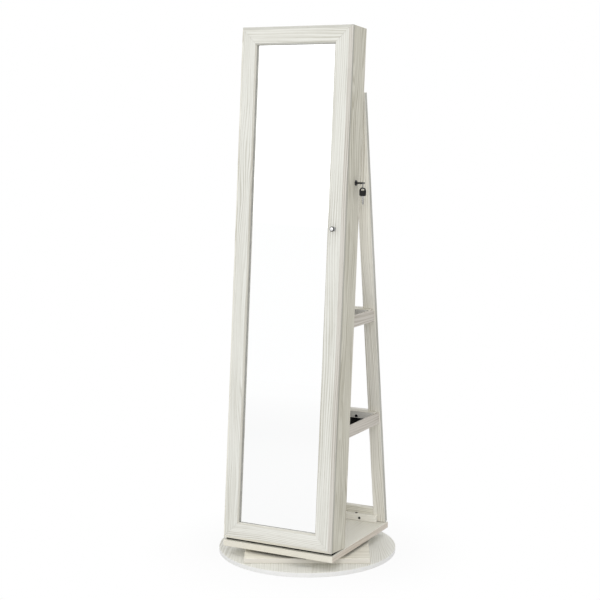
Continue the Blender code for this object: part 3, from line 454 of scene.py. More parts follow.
def wood_marks(shade, turn, shift, strength=1.0, figure=9.0, pitch=1.0):
    """Grain of a whitewashed foil, from 0, bare paint, to 1, a dark pore, and its streaks alone.
    turn brings the board's length to Z, figure bends the rings and pitch spreads them."""
    grain = shade.place(shade.coords.outputs["Object"], turn=turn, shift=shift)
    axes = shade.step("ShaderNodeSeparateXYZ", Vector=grain)
    across = shade.math("MULTIPLY_ADD", axes.outputs["Y"], RING_SLANT, axes.outputs["X"])
    swell = shade.noise(shade.place(grain, scale=SWELL_SCALE), scale=1.0, detail=2.5, roughness=0.42)
    bend = shade.math("MULTIPLY", swell, figure)
    field = shade.math("MULTIPLY_ADD", across, 1.0 / (pitch * RING_SPACING), bend)
    ring = shade.math("FRACT", field)
    late = shade.math("MULTIPLY", shade.ramp(ring, *LATE_RISE), shade.ramp(ring, *LATE_FALL, 1.0, 0.0))
    bent = shade.math("MULTIPLY", field, RING_SPACING)
    along = shade.step("ShaderNodeCombineXYZ", X=bent, Z=axes.outputs["Z"]).outputs[0]
    streak = shade.layer(along, *STREAKS)
    fine = shade.layer(along, *FINE_LINES)
    pore = shade.layer(grain, *PORES)
    cloud = shade.layer(grain, *CLOUDS)
    banded = shade.math("MULTIPLY_ADD", cloud, CLOUD_SHARE * strength, LATE_SHARE * strength)
    lines = shade.math("MULTIPLY", late, banded)
    lines = shade.math("MULTIPLY_ADD", streak, STREAK_SHARE * strength, lines)
    lines = shade.math("MULTIPLY_ADD", fine, FINE_SHARE * strength, lines)
    pored = shade.math("MULTIPLY_ADD", late, LATE_PORE_SHARE * strength, PORE_SHARE * strength)
    return shade.math("ADD", lines, shade.math("MULTIPLY", pore, pored), clamp=True), streak


def tinted(colour, tone):
    return tuple(part * share for part, share in zip(colour, tone))


def whitewash(name, turn, shift, edge=None, strength=1.0, figure=9.0, pitch=1.0, tone=(1.0, 1.0, 1.0),
              slope_shading=(), flank_shade=None):
    """Whitewashed wood-grain foil. The edge colour goes on faces that don't look up or down: an edge band on
    the base boards, and painted light on the trays' rear rails. The slope tones are painted light and shade on
    a door frame's chamfers by the way they look; the side-face tone is painted shade on narrow faces that look
    left or right."""
    shade = Shade(name)
    marks, streak = wood_marks(shade, turn, shift, strength, figure, pitch)

    def foil(tint):
        return shade.mix(marks, tinted(PALE, tint), tinted(GRAIN, tint))

    colour = foil(tone)
    # Edge band colour on upright faces; on the trays' rear rails this colour is painted light
    if edge is not None:
        level = shade.math("ABSOLUTE", shade.facing(UPWARD))
        darkest = tuple(EDGE_DARKEST * part for part in edge)
        faint = shade.mix(shade.math("MULTIPLY", streak, EDGE_STREAKS), edge, darkest)
        colour = shade.mix(shade.ramp(level, *LEVEL_FADE, 1.0, 0.0), colour, faint)
    # Painted light and shade: each door chamfer takes a lighter or darker copy of the foil by the way it looks
    for way, tint in slope_shading:
        front = shade.facing((0.0, -math.cos(LEAN), math.sin(LEAN)))
        not_flat = shade.ramp(front, *FRONT_FADE, 1.0, 0.0)
        sloped = shade.math("MULTIPLY", not_flat, shade.ramp(front, *REAR_FADE))
        sloped = shade.math("MULTIPLY", sloped, shade.ramp(shade.facing(way), *SLOPE_FADE))
        colour = shade.mix(sloped, colour, foil(tint))
    # Painted shade: narrow faces that look left or right take a darker copy of the foil
    if flank_shade is not None:
        sideways = shade.ramp(shade.math("ABSOLUTE", shade.facing(RIGHTWARD)), *FLANK_FADE)
        colour = shade.mix(sideways, colour, foil(flank_shade))
    rough = shade.math("MULTIPLY_ADD", marks, 0.25, 0.42)
    shade.set(Base_Color=colour, Roughness=rough, Specular_IOR_Level=0.4)
    shade.bump(shade.math("MULTIPLY", marks, -1.0), strength=0.22, distance=0.0004)
    return shade.material


def metal(name, colour, roughness, stretch=(60.0, 60.0, 60.0), scratch=0.12):
    """Plated or polished metal with fine uneven polish."""
    shade = Shade(name)
    rub = shade.noise(shade.place(shade.coords.outputs["Object"], scale=stretch), scale=8.0, detail=4.0)
    rough = shade.math("MULTIPLY_ADD", rub, scratch, roughness - scratch / 2)
    worn = tuple(0.9 * part for part in colour)
    shade.set(Base_Color=shade.mix(rub, colour, worn), Metallic=1.0, Roughness=rough)
    shade.bump(rub, strength=0.04, distance=0.0002)
    return shade.material


def velvet(name, colour, sheen=0.12, gloss=0.15):
    """Short black pile, with or without a soft sheen."""
    shade = Shade(name)
    where = shade.coords.outputs["Object"]
    pile = shade.noise(where, scale=1800.0, detail=2.0)
    brushed = shade.noise(where, scale=34.0, detail=4.0)
    paler = tuple(part * 1.3 for part in colour)
    shade.set(Base_Color=shade.mix(shade.ramp(brushed, 0.35, 0.7), colour, paler), Roughness=0.95,
              Sheen_Weight=sheen, Sheen_Roughness=0.5, Specular_IOR_Level=gloss)
    shade.bump(pile, strength=0.5, distance=0.0006)
    return shade.material


def lined_board(name, turn, shift):
    """Whitewashed board with black flocking on its upper face."""
    shade = Shade(name)
    marks, _ = wood_marks(shade, turn, shift)
    pile = shade.noise(shade.coords.outputs["Object"], scale=1500.0, detail=2.0)
    flock = shade.mix(pile, BLACK, FLOCK)
    above = shade.ramp(shade.facing((0.0, math.sin(LEAN), math.cos(LEAN))), *LINED_FADE)
    shade.set(Base_Color=shade.mix(above, shade.mix(marks, PALE, GRAIN), flock),
              Roughness=shade.math("MULTIPLY_ADD", above, 0.45, 0.5))
    shade.bump(shade.math("MULTIPLY", pile, above), strength=0.4, distance=0.0005)
    return shade.material


def plastic(name, colour, roughness, grain=900.0):
    """Moulded plastic or rubber with a fine texture."""
    shade = Shade(name)
    where = shade.coords.outputs["Object"]
    fine = shade.noise(where, scale=grain, detail=3.0)
    worn = shade.noise(where, scale=60.0, detail=3.0)
    paler = tuple(part * 1.5 + 0.002 for part in colour)
    shade.set(Base_Color=shade.mix(shade.ramp(worn, 0.4, 0.75), colour, paler),
              Roughness=shade.math("MULTIPLY_ADD", fine, 0.2, roughness - 0.1), Specular_IOR_Level=0.25)
    shade.bump(fine, strength=0.18, distance=0.0003)
    return shade.material


def mirror_glass(name):
    """Silvered mirror, with a faint unevenness in the silvering."""
    shade = Shade(name)
    haze = shade.noise(shade.coords.outputs["Object"], scale=5.0, detail=2.0)
    shade.set(Base_Color=shade.mix(haze, (0.998, 1.0, 1.0), (0.99, 0.995, 0.995)), Metallic=1.0,
              Roughness=shade.math("MULTIPLY", haze, 0.02))
    return shade.material


def acrylic(name):
    """Clear acrylic sheet with light scuffs."""
    shade = Shade(name)
    scuff = shade.noise(shade.coords.outputs["Object"], scale=140.0, detail=4.0)
    shade.set(Base_Color=(0.96, 0.975, 0.98), Roughness=shade.ramp(scuff, 0.5, 0.8, 0.02, 0.2),
              Transmission_Weight=1.0, IOR=1.49)
    return shade.material


LEFTWARD, RIGHTWARD = (-1.0, 0.0, 0.0), (1.0, 0.0, 0.0)
UPWARD, DOWNWARD = (0.0, 0.0, 1.0), (0.0, 0.0, -1.0)
UPRIGHT = (LEAN, 0.0, 0.0)
ACROSS = (0.0, math.radians(-90), 0.0)
DEEP = (math.radians(90), 0.0, 0.0)
BASE_BACK = Matrix.Rotation(-BASE_TURN, 3, "Z")
DISC_GRAIN = tuple((Matrix.Rotation(math.radians(90), 3, "X") @ BASE_BACK).to_euler())
PLATFORM_GRAIN = tuple((Matrix.Rotation(math.radians(-90), 3, "Y") @ BASE_BACK).to_euler())

# Foils, by node or by a kind of node
WOOD = {
    # Door members: painted light and shade on the chamfers, and painted shade on the narrow side faces
    "door_stile_left": whitewash(
        "foil_stile_left", UPRIGHT, (0.020, 0.06, 0.0), figure=17.0, strength=0.85, tone=STILE_TONE,
        slope_shading=((LEFTWARD, LEFT_CHAMFER_TONE), (RIGHTWARD, LEFT_BEVEL_TONE)), flank_shade=DOOR_FLANK_SHADE),
    "door_stile_right": whitewash(
        "foil_stile_right", UPRIGHT, (-0.30, 0.11, 0.7), figure=6.0, tone=STILE_TONE,
        slope_shading=((LEFTWARD, CHAMFER_TONE), (RIGHTWARD, RIGHT_CHAMFER_TONE)), flank_shade=DOOR_FLANK_SHADE),
    "door_rail_top": whitewash(
        "foil_rail_top", ACROSS, (0.0, 0.02, 0.3), figure=8.0, strength=0.8, tone=TOP_TONE,
        slope_shading=((UPWARD, TOP_CHAMFER_TONE), (DOWNWARD, TOP_CHAMFER_TONE))),
    "door_rail_bottom": whitewash(
        "foil_rail_bottom", ACROSS, (0.2, 0.05, 1.3), figure=13.0,
        slope_shading=((UPWARD, CHAMFER_TONE), (DOWNWARD, LOW_CHAMFER_TONE))),
    # Painted shade: the side panels take a darker copy of the foil
    "sides": whitewash(
        "foil_sides", UPRIGHT, (0.11, 0.31, 0.2), figure=16.0, pitch=1.7, tone=SIDE_SHADE_TONE),
    "back_panel": whitewash(
        "foil_back", UPRIGHT, (0.11, 0.31, 0.2), figure=16.0, pitch=1.7, strength=0.85, tone=BACK_TONE),
    "across": whitewash("foil_across", ACROSS, (0.4, 0.12, 2.1), tone=RAIL_TONE),
    "rear_foot_rail": whitewash("foil_foot_rail", ACROSS, (0.4, 0.12, 2.1), tone=FOOT_TONE),
    # Painted light and shade: upright faces near white, top and bottom faces darker
    "rear_rail": whitewash("foil_rear_rail", ACROSS, (0.3, 0.18, 1.4), edge=TRAY_FACE_LIT, tone=TRAY_TOP_SHADE),
    # Painted light: the foot batten takes a lighter copy of the foil
    "foot_batten": whitewash("foil_batten", ACROSS, (0.1, 0.22, 0.7), strength=0.35, tone=BATTEN_LIT_TONE),
    # Painted shade: the trays' boards take a darker copy of the foil
    "deep": whitewash("foil_deep", DEEP, (0.15, 0.4, 0.9), tone=DEEP_SHADE_TONE),
    # Painted light and shade: the legs take a lighter copy of the foil, darker on their narrow side faces
    "legs": whitewash(
        "foil_legs", (-LEG_LEAN, 0.0, 0.0), (0.25, 0.2, 1.7), figure=12.0, strength=1.15, tone=LEG_LIT_TONE,
        flank_shade=LEG_FLANK_SHADE),
    "base_disc": whitewash(
        "foil_disc", DISC_GRAIN, (0.3, 0.1, 0.4), edge=EDGE_WHITE, strength=0.62, figure=14.0),
    # Painted light: the platform takes a lighter copy of the foil
    "base_platform": whitewash(
        "foil_platform", PLATFORM_GRAIN, (0.1, 0.33, 1.1), edge=PLATFORM_EDGE, strength=0.85, pitch=2.0,
        tone=BOARD_LIT_TONE),
    # Painted shade: the swivel board's narrow side faces are darker
    "swivel_board": whitewash(
        "foil_swivel", DEEP, (0.35, 0.21, 0.6), edge=EDGE_BEIGE, strength=0.6, tone=SWIVEL_TONE,
        flank_shade=SWIVEL_FLANK_SHADE),
}
MIRROR = mirror_glass("mirror_silver")
# Chrome darkened to grey; on the knob's body this paints a darker reflection
CHROME = metal("polished_chrome", (0.36, 0.36, 0.36), 0.10, scratch=0.05)
POLISH = metal("bright_chrome", (0.84, 0.84, 0.84), 0.12, scratch=0.05)
NICKEL = metal("satin_nickel", (0.60, 0.60, 0.59), 0.32, stretch=(20.0, 20.0, 300.0))
STEEL = metal("key_steel", (0.36, 0.355, 0.345), 0.28, stretch=(120.0, 120.0, 30.0))
ZINC = metal("zinc_plate", (0.52, 0.53, 0.54), 0.38, stretch=(18.0, 18.0, 18.0), scratch=0.2)
GUNMETAL = metal("black_nickel", (0.030, 0.030, 0.032), 0.3, scratch=0.1)
BLACK_STEEL = metal("black_oxide", (0.022, 0.022, 0.023), 0.42, scratch=0.16)
VELVET = velvet("black_velvet", BLACK)
# Black felt for the tray floors; the same felt paints shade in the gaps under the swivel board and the cabinet
FELT_AND_SHADE = velvet("black_felt_and_shade", (0.003, 0.003, 0.003), 0.0, 0.02)
LINED = lined_board("flocked_shelf", ACROSS, (0.4, 0.12, 2.1))
CLEAR = acrylic("clear_acrylic")
PLASTIC = plastic("black_plastic", (0.005, 0.005, 0.005), 0.5)
# Painted shade: the grey bead stands in for the shadow line round the mirror
SHADOW_BEAD = plastic("shadow_line_bead", (0.28, 0.28, 0.27), 0.5)
BUMPER = plastic("grey_bumper", (0.45, 0.45, 0.44), 0.5)
CAP = plastic("white_cap", (0.78, 0.775, 0.75), 0.5)
RUBBER = plastic("black_rubber", (0.022, 0.022, 0.022), 0.75, 500.0)

# Finishes: by node, else by the first part that is in its name
FINISHES = {
    **WOOD,
    "leg_stretcher": WOOD["across"],
    "mirror_glass": MIRROR,
    "mirror_backing": VELVET,
    "velvet_liner": VELVET,
    "ring_cushion": VELVET,
    "bottom_panel": LINED,
    "door_knob": CHROME,
    "key_ring": CHROME,
    "lock_housing": GUNMETAL,
    "lock_plug": GUNMETAL,
    "lock_strike": NICKEL,
    "lock_key": PLASTIC,
    "spare_key": PLASTIC,
    "magnet_catch": PLASTIC,
}
KINDS = (
    ("hinge_", NICKEL), ("base_pad", RUBBER), ("bearing_", ZINC), ("shelf_guard_", CLEAR), ("shelf", LINED),
    ("side_panel_", WOOD["sides"]), ("leg_", WOOD["legs"]), ("_tray_rear_rail", WOOD["rear_rail"]),
    ("_tray_floor", FELT_AND_SHADE), ("_tray_", WOOD["deep"]), ("", WOOD["across"]),
)
for name, node in NODES.items():
    kind = next(finish for part, finish in KINDS if part in name)
    node.data.materials.clear()
    node.data.materials.append(FINISHES.get(name, kind))


# Forms

def piece(name, form, finish, body, replaces=(), sharp=38.0):
    """Makes a piece from a bmesh and lets it ride on a body."""
    mesh = bpy.data.meshes.new(name)
    bmesh.ops.recalc_face_normals(form, faces=form.faces)
    form.to_mesh(mesh)
    form.free()
    mesh.materials.append(finish)
    mesh.shade_smooth()
    mesh.set_sharp_from_angle(angle=math.radians(sharp))
    item = bpy.data.objects.new(name, mesh)
    bpy.context.scene.collection.objects.link(item)
    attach(item, body)
    if replaces:
        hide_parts(*replaces)
    return item


def skin(form, rings):
    """Faces between rings of vertices, one after the other; a ring of one vertex makes a tip."""
    for low, high in zip(rings, rings[1:]):
        count = max(len(low), len(high))
        for index in range(count):
            after = (index + 1) % count
            corners = [low[index % len(low)], low[after % len(low)],
                       high[after % len(high)], high[index % len(high)]]
            corners = list(dict.fromkeys(corners))
            if len(corners) > 2:
                form.faces.new(corners)


def circle(form, place, radius, height, sides, reach=None):
    """A ring of vertices round Z of a placing matrix. reach may change the radius with the angle."""
    if radius < 1e-7:
        return [form.verts.new(place @ Vector((0.0, 0.0, height)))]
    ring = []
    for index in range(sides):
        angle = 2 * math.pi * index / sides
        out = radius * (reach(angle) if reach else 1.0)
        ring.append(form.verts.new(place @ Vector((out * math.cos(angle), out * math.sin(angle), height))))
    return ring


def lathe(form, profile, place, sides, closed=False):
    """Adds a turned form with a profile of radius and height along Z of a placing matrix."""
    rings = [circle(form, place, radius, height, sides) for radius, height in profile]
    if closed:
        rings.append(rings[0])
    else:
        for ring in (rings[0], rings[-1]):
            if len(ring) > 1:
                form.faces.new(ring)
    skin(form, rings)


def prism(form, outline, depth, place, bevel=0.0):
    """Adds an outline in X and Y that runs along Z, with its end edges broken."""
    middle = Vector((sum(x for x, y in outline), sum(y for x, y in outline))) / len(outline)
    levels = [(0.0, 0.0), (0.0, depth)]
    if bevel:
        levels = [(bevel, 0.0), (0.0, bevel), (0.0, depth - bevel), (bevel, depth)]
    rings = []
    for inset, height in levels:
        ring = []
        for x, y in outline:
            out = Vector((x, y)) - middle
            out -= Vector([math.copysign(min(inset, abs(part)), part) for part in out])
            ring.append(form.verts.new(place @ Vector((middle.x + out.x, middle.y + out.y, height))))
        rings.append(ring)
    skin(form, rings)
    form.faces.new(rings[0])
    form.faces.new(rings[-1])


def plate(form, low, high, place, bevel):
    """Adds a rectangular block with broken edges between two corners."""
    low, high = Vector(low), Vector(high)
    outline = [
        (low.x + bevel, low.y), (high.x - bevel, low.y), (high.x, low.y + bevel), (high.x, high.y - bevel),
        (high.x - bevel, high.y), (low.x + bevel, high.y), (low.x, high.y - bevel), (low.x, low.y + bevel),
    ]
    prism(form, outline, high.z - low.z, place @ Matrix.Translation((0.0, 0.0, low.z)), bevel)


def sweep(form, points, radius, sides):
    """Adds a round wire along points."""
    normal = None
    rings = []
    for index, point in enumerate(points):
        before, after = points[max(index - 1, 0)], points[min(index + 1, len(points) - 1)]
        along = (after - before).normalized()
        if normal is None:
            normal = along.orthogonal()
        normal = (normal - along * normal.dot(along)).normalized()
        side = along.cross(normal)
        rings.append([form.verts.new(point + radius * (normal * math.cos(turn) + side * math.sin(turn)))
                      for turn in (2 * math.pi * step / sides for step in range(sides))])
    form.faces.new(rings[0])
    form.faces.new(rings[-1])
    skin(form, rings)


def hex_reach(angle):
    """Outline of a hexagon as a radius for each angle, 1 at its corners."""
    return math.cos(math.pi / 6) / math.cos((angle % (math.pi / 3)) - math.pi / 6)


def socket_head(form, place, radius, height):
    """Adds a domed bolt head with a hexagon socket."""
    socket, floor = radius * SOCKET_SHARE, height - height * SOCKET_DEPTH
    rings = [circle(form, place, radius * out, height * up, HEAD_SIDES) for out, up in SOCKET_DOME]
    rings += [
        circle(form, place, socket, height, HEAD_SIDES, hex_reach),
        circle(form, place, socket * SOCKET_TAPER, floor, HEAD_SIDES, hex_reach),
        circle(form, place, 0.0, floor, HEAD_SIDES),
    ]
    form.faces.new(rings[0])
    skin(form, rings)


def cross_head(form, place, radius, height):
    """Adds a domed screw head with a cross recess."""
    rings = [circle(form, place, radius, up, HEAD_SIDES) for up in (0.0, height * CROSS_RIM)]
    for share in CROSS_SHARES:
        ring = []
        for index in range(HEAD_SIDES):
            angle = 2 * math.pi * index / HEAD_SIDES
            x, y = share * math.cos(angle), share * math.sin(angle)
            rise = height * (1.0 - 0.5 * share ** 2)
            if share < CROSS_REACH and min(abs(x), abs(y)) < CROSS_HALF:
                rise -= height * CROSS_DEPTH
            ring.append(form.verts.new(place @ Vector((radius * x, radius * y, rise))))
        rings.append(ring)
    rings.append(circle(form, place, 0.0, height * CROSS_RIM, HEAD_SIDES))
    form.faces.new(rings[0])
    skin(form, rings)


def rounded(x0, y0, x1, y1, near, far, steps):
    """Outline of a rectangle with one corner radius at low X and one at high X, anticlockwise."""
    points = []
    corners = ((x1, y1, 0, far), (x0, y1, 90, near), (x0, y0, 180, near), (x1, y0, 270, far))
    for x, y, start, radius in corners:
        centre_x = x - math.copysign(radius, x - (x0 + x1) / 2)
        centre_y = y - math.copysign(radius, y - (y0 + y1) / 2)
        for step in range(steps + 1):
            angle = math.radians(start + 90 * step / steps)
            points.append((centre_x + radius * math.cos(angle), centre_y + radius * math.sin(angle)))
    return points


def ray_to(outline, centre, angle):
    """How far a closed outline lies from a point inside it, in one direction."""
    way = Vector((math.cos(angle), math.sin(angle)))
    best = 0.0
    for first, second in zip(outline, outline[1:] + outline[:1]):
        start, edge = Vector(first) - centre, Vector(second) - Vector(first)
        across = way.x * edge.y - way.y * edge.x
        if abs(across) < 1e-12:
            continue
        reach = (start.x * edge.y - start.y * edge.x) / across
        share = (start.x * way.y - start.y * way.x) / across
        if reach > 0 and -1e-6 <= share <= 1 + 1e-6:
            best = max(best, reach)
    return best


def holed_plate(form, outer, inner, centre, thickness, place, bevel):
    """Adds a flat plate with a hole, its edges broken on both faces."""
    half = thickness / 2
    centre = Vector(centre)
    angles = [2 * math.pi * index / BOW_SIDES for index in range(BOW_SIDES)]
    out = [ray_to(outer, centre, angle) for angle in angles]
    hole = [ray_to(inner, centre, angle) for angle in angles]

    def ring(reaches, inset, height):
        return [form.verts.new(place @ Vector((centre.x + (reach + inset) * math.cos(angle),
                                               centre.y + (reach + inset) * math.sin(angle), height)))
                for reach, angle in zip(reaches, angles)]

    rings = [
        ring(out, -bevel, -half), ring(out, 0.0, bevel - half),
        ring(out, 0.0, half - bevel), ring(out, -bevel, half),
        ring(hole, bevel, half), ring(hole, 0.0, half - bevel),
        ring(hole, 0.0, bevel - half), ring(hole, bevel, -half),
    ]
    skin(form, rings + rings[:1])


def at(frame_matrix, x, y, z, turn=None):
    """A placing matrix at a place of a frame; turn is an axis and degrees."""
    placed = frame_matrix @ Matrix.Translation((x, y, z))
    return placed @ Matrix.Rotation(math.radians(turn[1]), 4, turn[0]) if turn else placed


TO_FRONT, TO_BACK, TO_RIGHT, TO_LEFT = ("X", 90), ("X", -90), ("Y", 90), ("Y", -90)


# Pieces

def knob():
    """Turned knob on the right stile: a bright domed face in a black nickel ring, on a grey chrome body. The
    dark ring and the grey chrome paint the dark reflection on the knob's rim.
    """
    place = at(CABINET, CABINET_WIDTH / 2 - (FRAME_WIDTH + FRAME_CHAMFER) / 2, -CAD_GAP, KNOB_UP, TO_FRONT)
    form = bmesh.new()
    lathe(form, KNOB_PROFILE, place, KNOB_SIDES)
    piece("turned_knob", form, CHROME, "door", ["door_knob"], sharp=50)
    form = bmesh.new()
    lathe(form, KNOB_RING_PROFILE, place, KNOB_SIDES, closed=True)
    # Painted reflection: the black nickel ring stands in for the dark that the knob's rim reflects
    piece("knob_ring", form, GUNMETAL, "door", sharp=50)
    form = bmesh.new()
    lathe(form, KNOB_FACE_PROFILE, place, KNOB_SIDES)
    piece("knob_face", form, POLISH, "door", sharp=50)


def lock():
    """Lock bezel with its threaded barrel, and the nut that holds it inside the side panel."""
    place = at(LOCK, 0.0, 0.0, 0.0, TO_RIGHT)
    form = bmesh.new()
    profile = list(BEZEL_PROFILE)
    for step in range(THREAD_TURNS):
        profile += [(BARREL, THREAD_CREST_AT - THREAD_PITCH * step),
                    (THREAD_ROOT, THREAD_ROOT_AT - THREAD_PITCH * step)]
    profile += [(THREAD_ROOT, BARREL_END), (BORE, BARREL_END)]
    lathe(form, profile, place, BEZEL_SIDES, closed=True)
    piece("lock_bezel", form, GUNMETAL, "armoire", ["lock_housing"])
    form = bmesh.new()
    rings = [circle(form, place, NUT_HOLE, NUT_PROFILE[0][1], NUT_SIDES)]
    rings += [circle(form, place, radius, height, NUT_SIDES, hex_reach) for radius, height in NUT_PROFILE]
    rings.append(circle(form, place, NUT_HOLE, NUT_PROFILE[-1][1], NUT_SIDES))
    skin(form, rings + rings[:1])
    piece("lock_nut", form, NICKEL, "armoire")


def key(name, place, blade_length, teeth, body):
    """A key with a slotted black bow, grip ribs and a toothed steel blade. It lies flat, its bow along +X."""
    form = bmesh.new()
    holed_plate(form, rounded(*BOW_OUTLINE), rounded(*SLOT_OUTLINE), (SLOT_FAR - SLOT_DEEP / 2, 0.0), BOW_THICK,
                place, BOW_BEVEL)
    for turn in (0.0, math.pi):
        face = place @ Matrix.Rotation(turn, 4, "X")
        for index in range(RIB_COUNT):
            start = RIB_START + RIB_PITCH * index
            plate(form, (start, -RIB_HALF, BOW_THICK / 2 - SEAT_GAP),
                  (start + RIB_WIDTH, RIB_HALF, BOW_THICK / 2 + RIB_RISE), face, FINE_BEVEL)
    piece(f"{name}_bow", form, PLASTIC, body, [name])
    form = bmesh.new()
    tip = [(out - blade_length, y) for out, y in BLADE_TIP]
    outline = BLADE_COLLAR + tip + teeth[::-1] + [(x, -y) for x, y in BLADE_COLLAR[::-1]]
    prism(form, outline, BLADE_THICK, place @ Matrix.Translation((0.0, 0.0, -BLADE_THICK / 2)), BLADE_BEVEL)
    piece(f"{name}_blade", form, STEEL, body)


def keys():
    """Key in the lock, spare key and split ring."""
    key("lock_key", at(LOCK, LOCK_KEY_OUT, 0.0, 0.0), LOCK_BLADE, LOCK_TEETH, "lock")
    swing = at(LOCK, *RING_CENTRE, ("Z", RING_TURN))
    key("spare_key", at(swing, 0.0, 0.0, SPARE_TOP - BOW_LENGTH, ("Y", -90)), SPARE_BLADE, SPARE_TEETH,
        "spare_key")
    points = []
    for index in range(RING_COILS * RING_STEPS + 1):
        share = index / RING_STEPS
        angle = 2 * math.pi * share - math.pi / 2 + RING_START
        lift = min(max((share - RING_CROSS_AT) / RING_CROSS_SPAN, 0.0), 1.0)
        lift = lift * lift * (3 - 2 * lift)
        points.append(swing @ Vector((RING_RADIUS * math.cos(angle), RING_PITCH * (lift - 0.5),
                                      RING_RADIUS * math.sin(angle))))
    form = bmesh.new()
    sweep(form, points, RING_WIRE, WIRE_SIDES)
    piece("split_ring", form, CHROME, "spare_key", ["key_ring"], sharp=60)


def fasteners():
    """Bolts and screws of the trays, legs, batten and hinges."""
    form = bmesh.new()
    for up in TRAY_BOLT_UPS:
        for x in TRAY_BOLT_XS:
            socket_head(form, at(LEGS, x, -RAIL_FACE, up, TO_FRONT), *TRAY_BOLT)
    piece("tray_bolts", form, BLACK_STEEL, "armoire")
    form = bmesh.new()
    for x in TRAY_BOLT_XS:
        for up in TRAY_BOLT_UPS:
            lathe(form, BOLT_END_PROFILE, at(LEGS, x, SEAT_GAP, up, TO_BACK), CAP_SIDES)
    for x in LEG_SCREW_XS:
        for up in LEG_SCREW_UPS:
            cross_head(form, at(LEGS, x, SEAT_GAP, up, TO_BACK), *LEG_SCREW)
    piece("leg_screws", form, ZINC, "armoire")
    form = bmesh.new()
    for x in BATTEN_SCREW_XS:
        cross_head(form, at(Matrix(), x, BATTEN_FRONT - HAIR_GAP, BATTEN_MIDDLE, TO_FRONT), *BATTEN_SCREW)
    for x in TOP_SCREW_XS:
        cross_head(form, at(Matrix(), x, BATTEN_FRONT + TOP_SCREW_IN, BATTEN_TOP + HAIR_GAP), *TOP_SCREW)
    piece("batten_screws", form, BLACK_STEEL, "armoire")
    for name, body, back in (("hinge_carcass_screws", "armoire", CARCASS_LEAF_BACK),
                             ("hinge_door_screws", "door", DOOR_LEAF_BACK)):
        form = bmesh.new()
        for middle in HINGE_MIDDLES:
            for step in HINGE_SCREW_STEPS:
                cross_head(form, at(CABINET, HINGE_SCREW_X, back, middle + step, TO_LEFT), *HINGE_SCREW)
        piece(name, form, NICKEL, body)


def mirror_trim():
    """Grey bead that paints the shadow line between the frame's lip and the glass, and the clips behind the
    backing with their screws.
    """
    form = bmesh.new()
    wide = CABINET_WIDTH / 2 - FRAME_WIDTH
    rings = []
    for sign, at_top in ((-1, False), (1, False), (1, True), (-1, True)):
        ring = []
        for inset, back in BEAD_SECTION:
            inset += SEAT_GAP
            up = CABINET_HEIGHT - FRAME_WIDTH - inset if at_top else FRAME_WIDTH + inset
            ring.append(form.verts.new(CABINET @ Vector((sign * (wide - inset), back, up))))
        rings.append(ring)
    skin(form, rings + rings[:1])
    piece("mirror_shadow_bead", form, SHADOW_BEAD, "door", sharp=25)
    form = bmesh.new()
    spots = [(sign * CLIP_X, up, sign * 90) for sign in (-1, 1) for up in CLIP_UPS]
    spots += [(x, up, turn) for x in (-END_CLIP_X, END_CLIP_X)
              for up, turn in ((END_CLIP_IN, 180), (CABINET_HEIGHT - END_CLIP_IN, 0))]
    places = [at(CABINET, x, DOOR_BACK + HAIR_GAP, up, TO_BACK) @ Matrix.Rotation(math.radians(turn), 4, "Z")
              for x, up, turn in spots]
    for place in places:
        prism(form, rounded(*CLIP_OUTLINE), CLIP_THICK, place, FINE_BEVEL)
    for place in places:
        cross_head(form, at(place, 0.0, CLIP_SCREW_UP, CLIP_THICK), *CLIP_SCREW)
    piece("backing_clips", form, NICKEL, "door")


def door_stops():
    """Bumpers behind the door, the catch's plate on it and the magnet's poles on the cabinet."""
    form = bmesh.new()
    for x in (-BUMPER_X, BUMPER_X):
        for up in BUMPER_UPS:
            lathe(form, BUMPER_PROFILE, at(CABINET, x, DOOR_BACK + HAIR_GAP, up, TO_BACK), BUMPER_SIDES)
    piece("door_bumpers", form, BUMPER, "door")
    form = bmesh.new()
    place = at(CABINET, CATCH_X, DOOR_BACK + HAIR_GAP, CATCH_UP, TO_BACK)
    prism(form, rounded(*CATCH_OUTLINE), CATCH_THICK, place, FINE_BEVEL)
    for lift in (-CATCH_SCREW_UP, CATCH_SCREW_UP):
        place = at(CABINET, CATCH_X, DOOR_BACK + CATCH_THICK, CATCH_UP + lift, TO_BACK)
        cross_head(form, place, *CATCH_SCREW)
    piece("catch_plate", form, ZINC, "door")
    form = bmesh.new()
    for x in POLE_XS:
        plate(form, POLE_LOW, POLE_HIGH, at(CABINET, x, CARCASS_FRONT, CATCH_UP, TO_FRONT), FINE_BEVEL)
    piece("catch_poles", form, ZINC, "armoire")


def on_both_sides(profile, sides, ups, backs):
    """Turned fittings on the inner faces of both side panels."""
    form = bmesh.new()
    for up in ups:
        for sign, turn in ((-1, TO_RIGHT), (1, TO_LEFT)):
            for back in backs:
                lathe(form, profile, at(CABINET, sign * (INNER_HALF - SEAT_GAP), back, up, turn), sides)
    return form


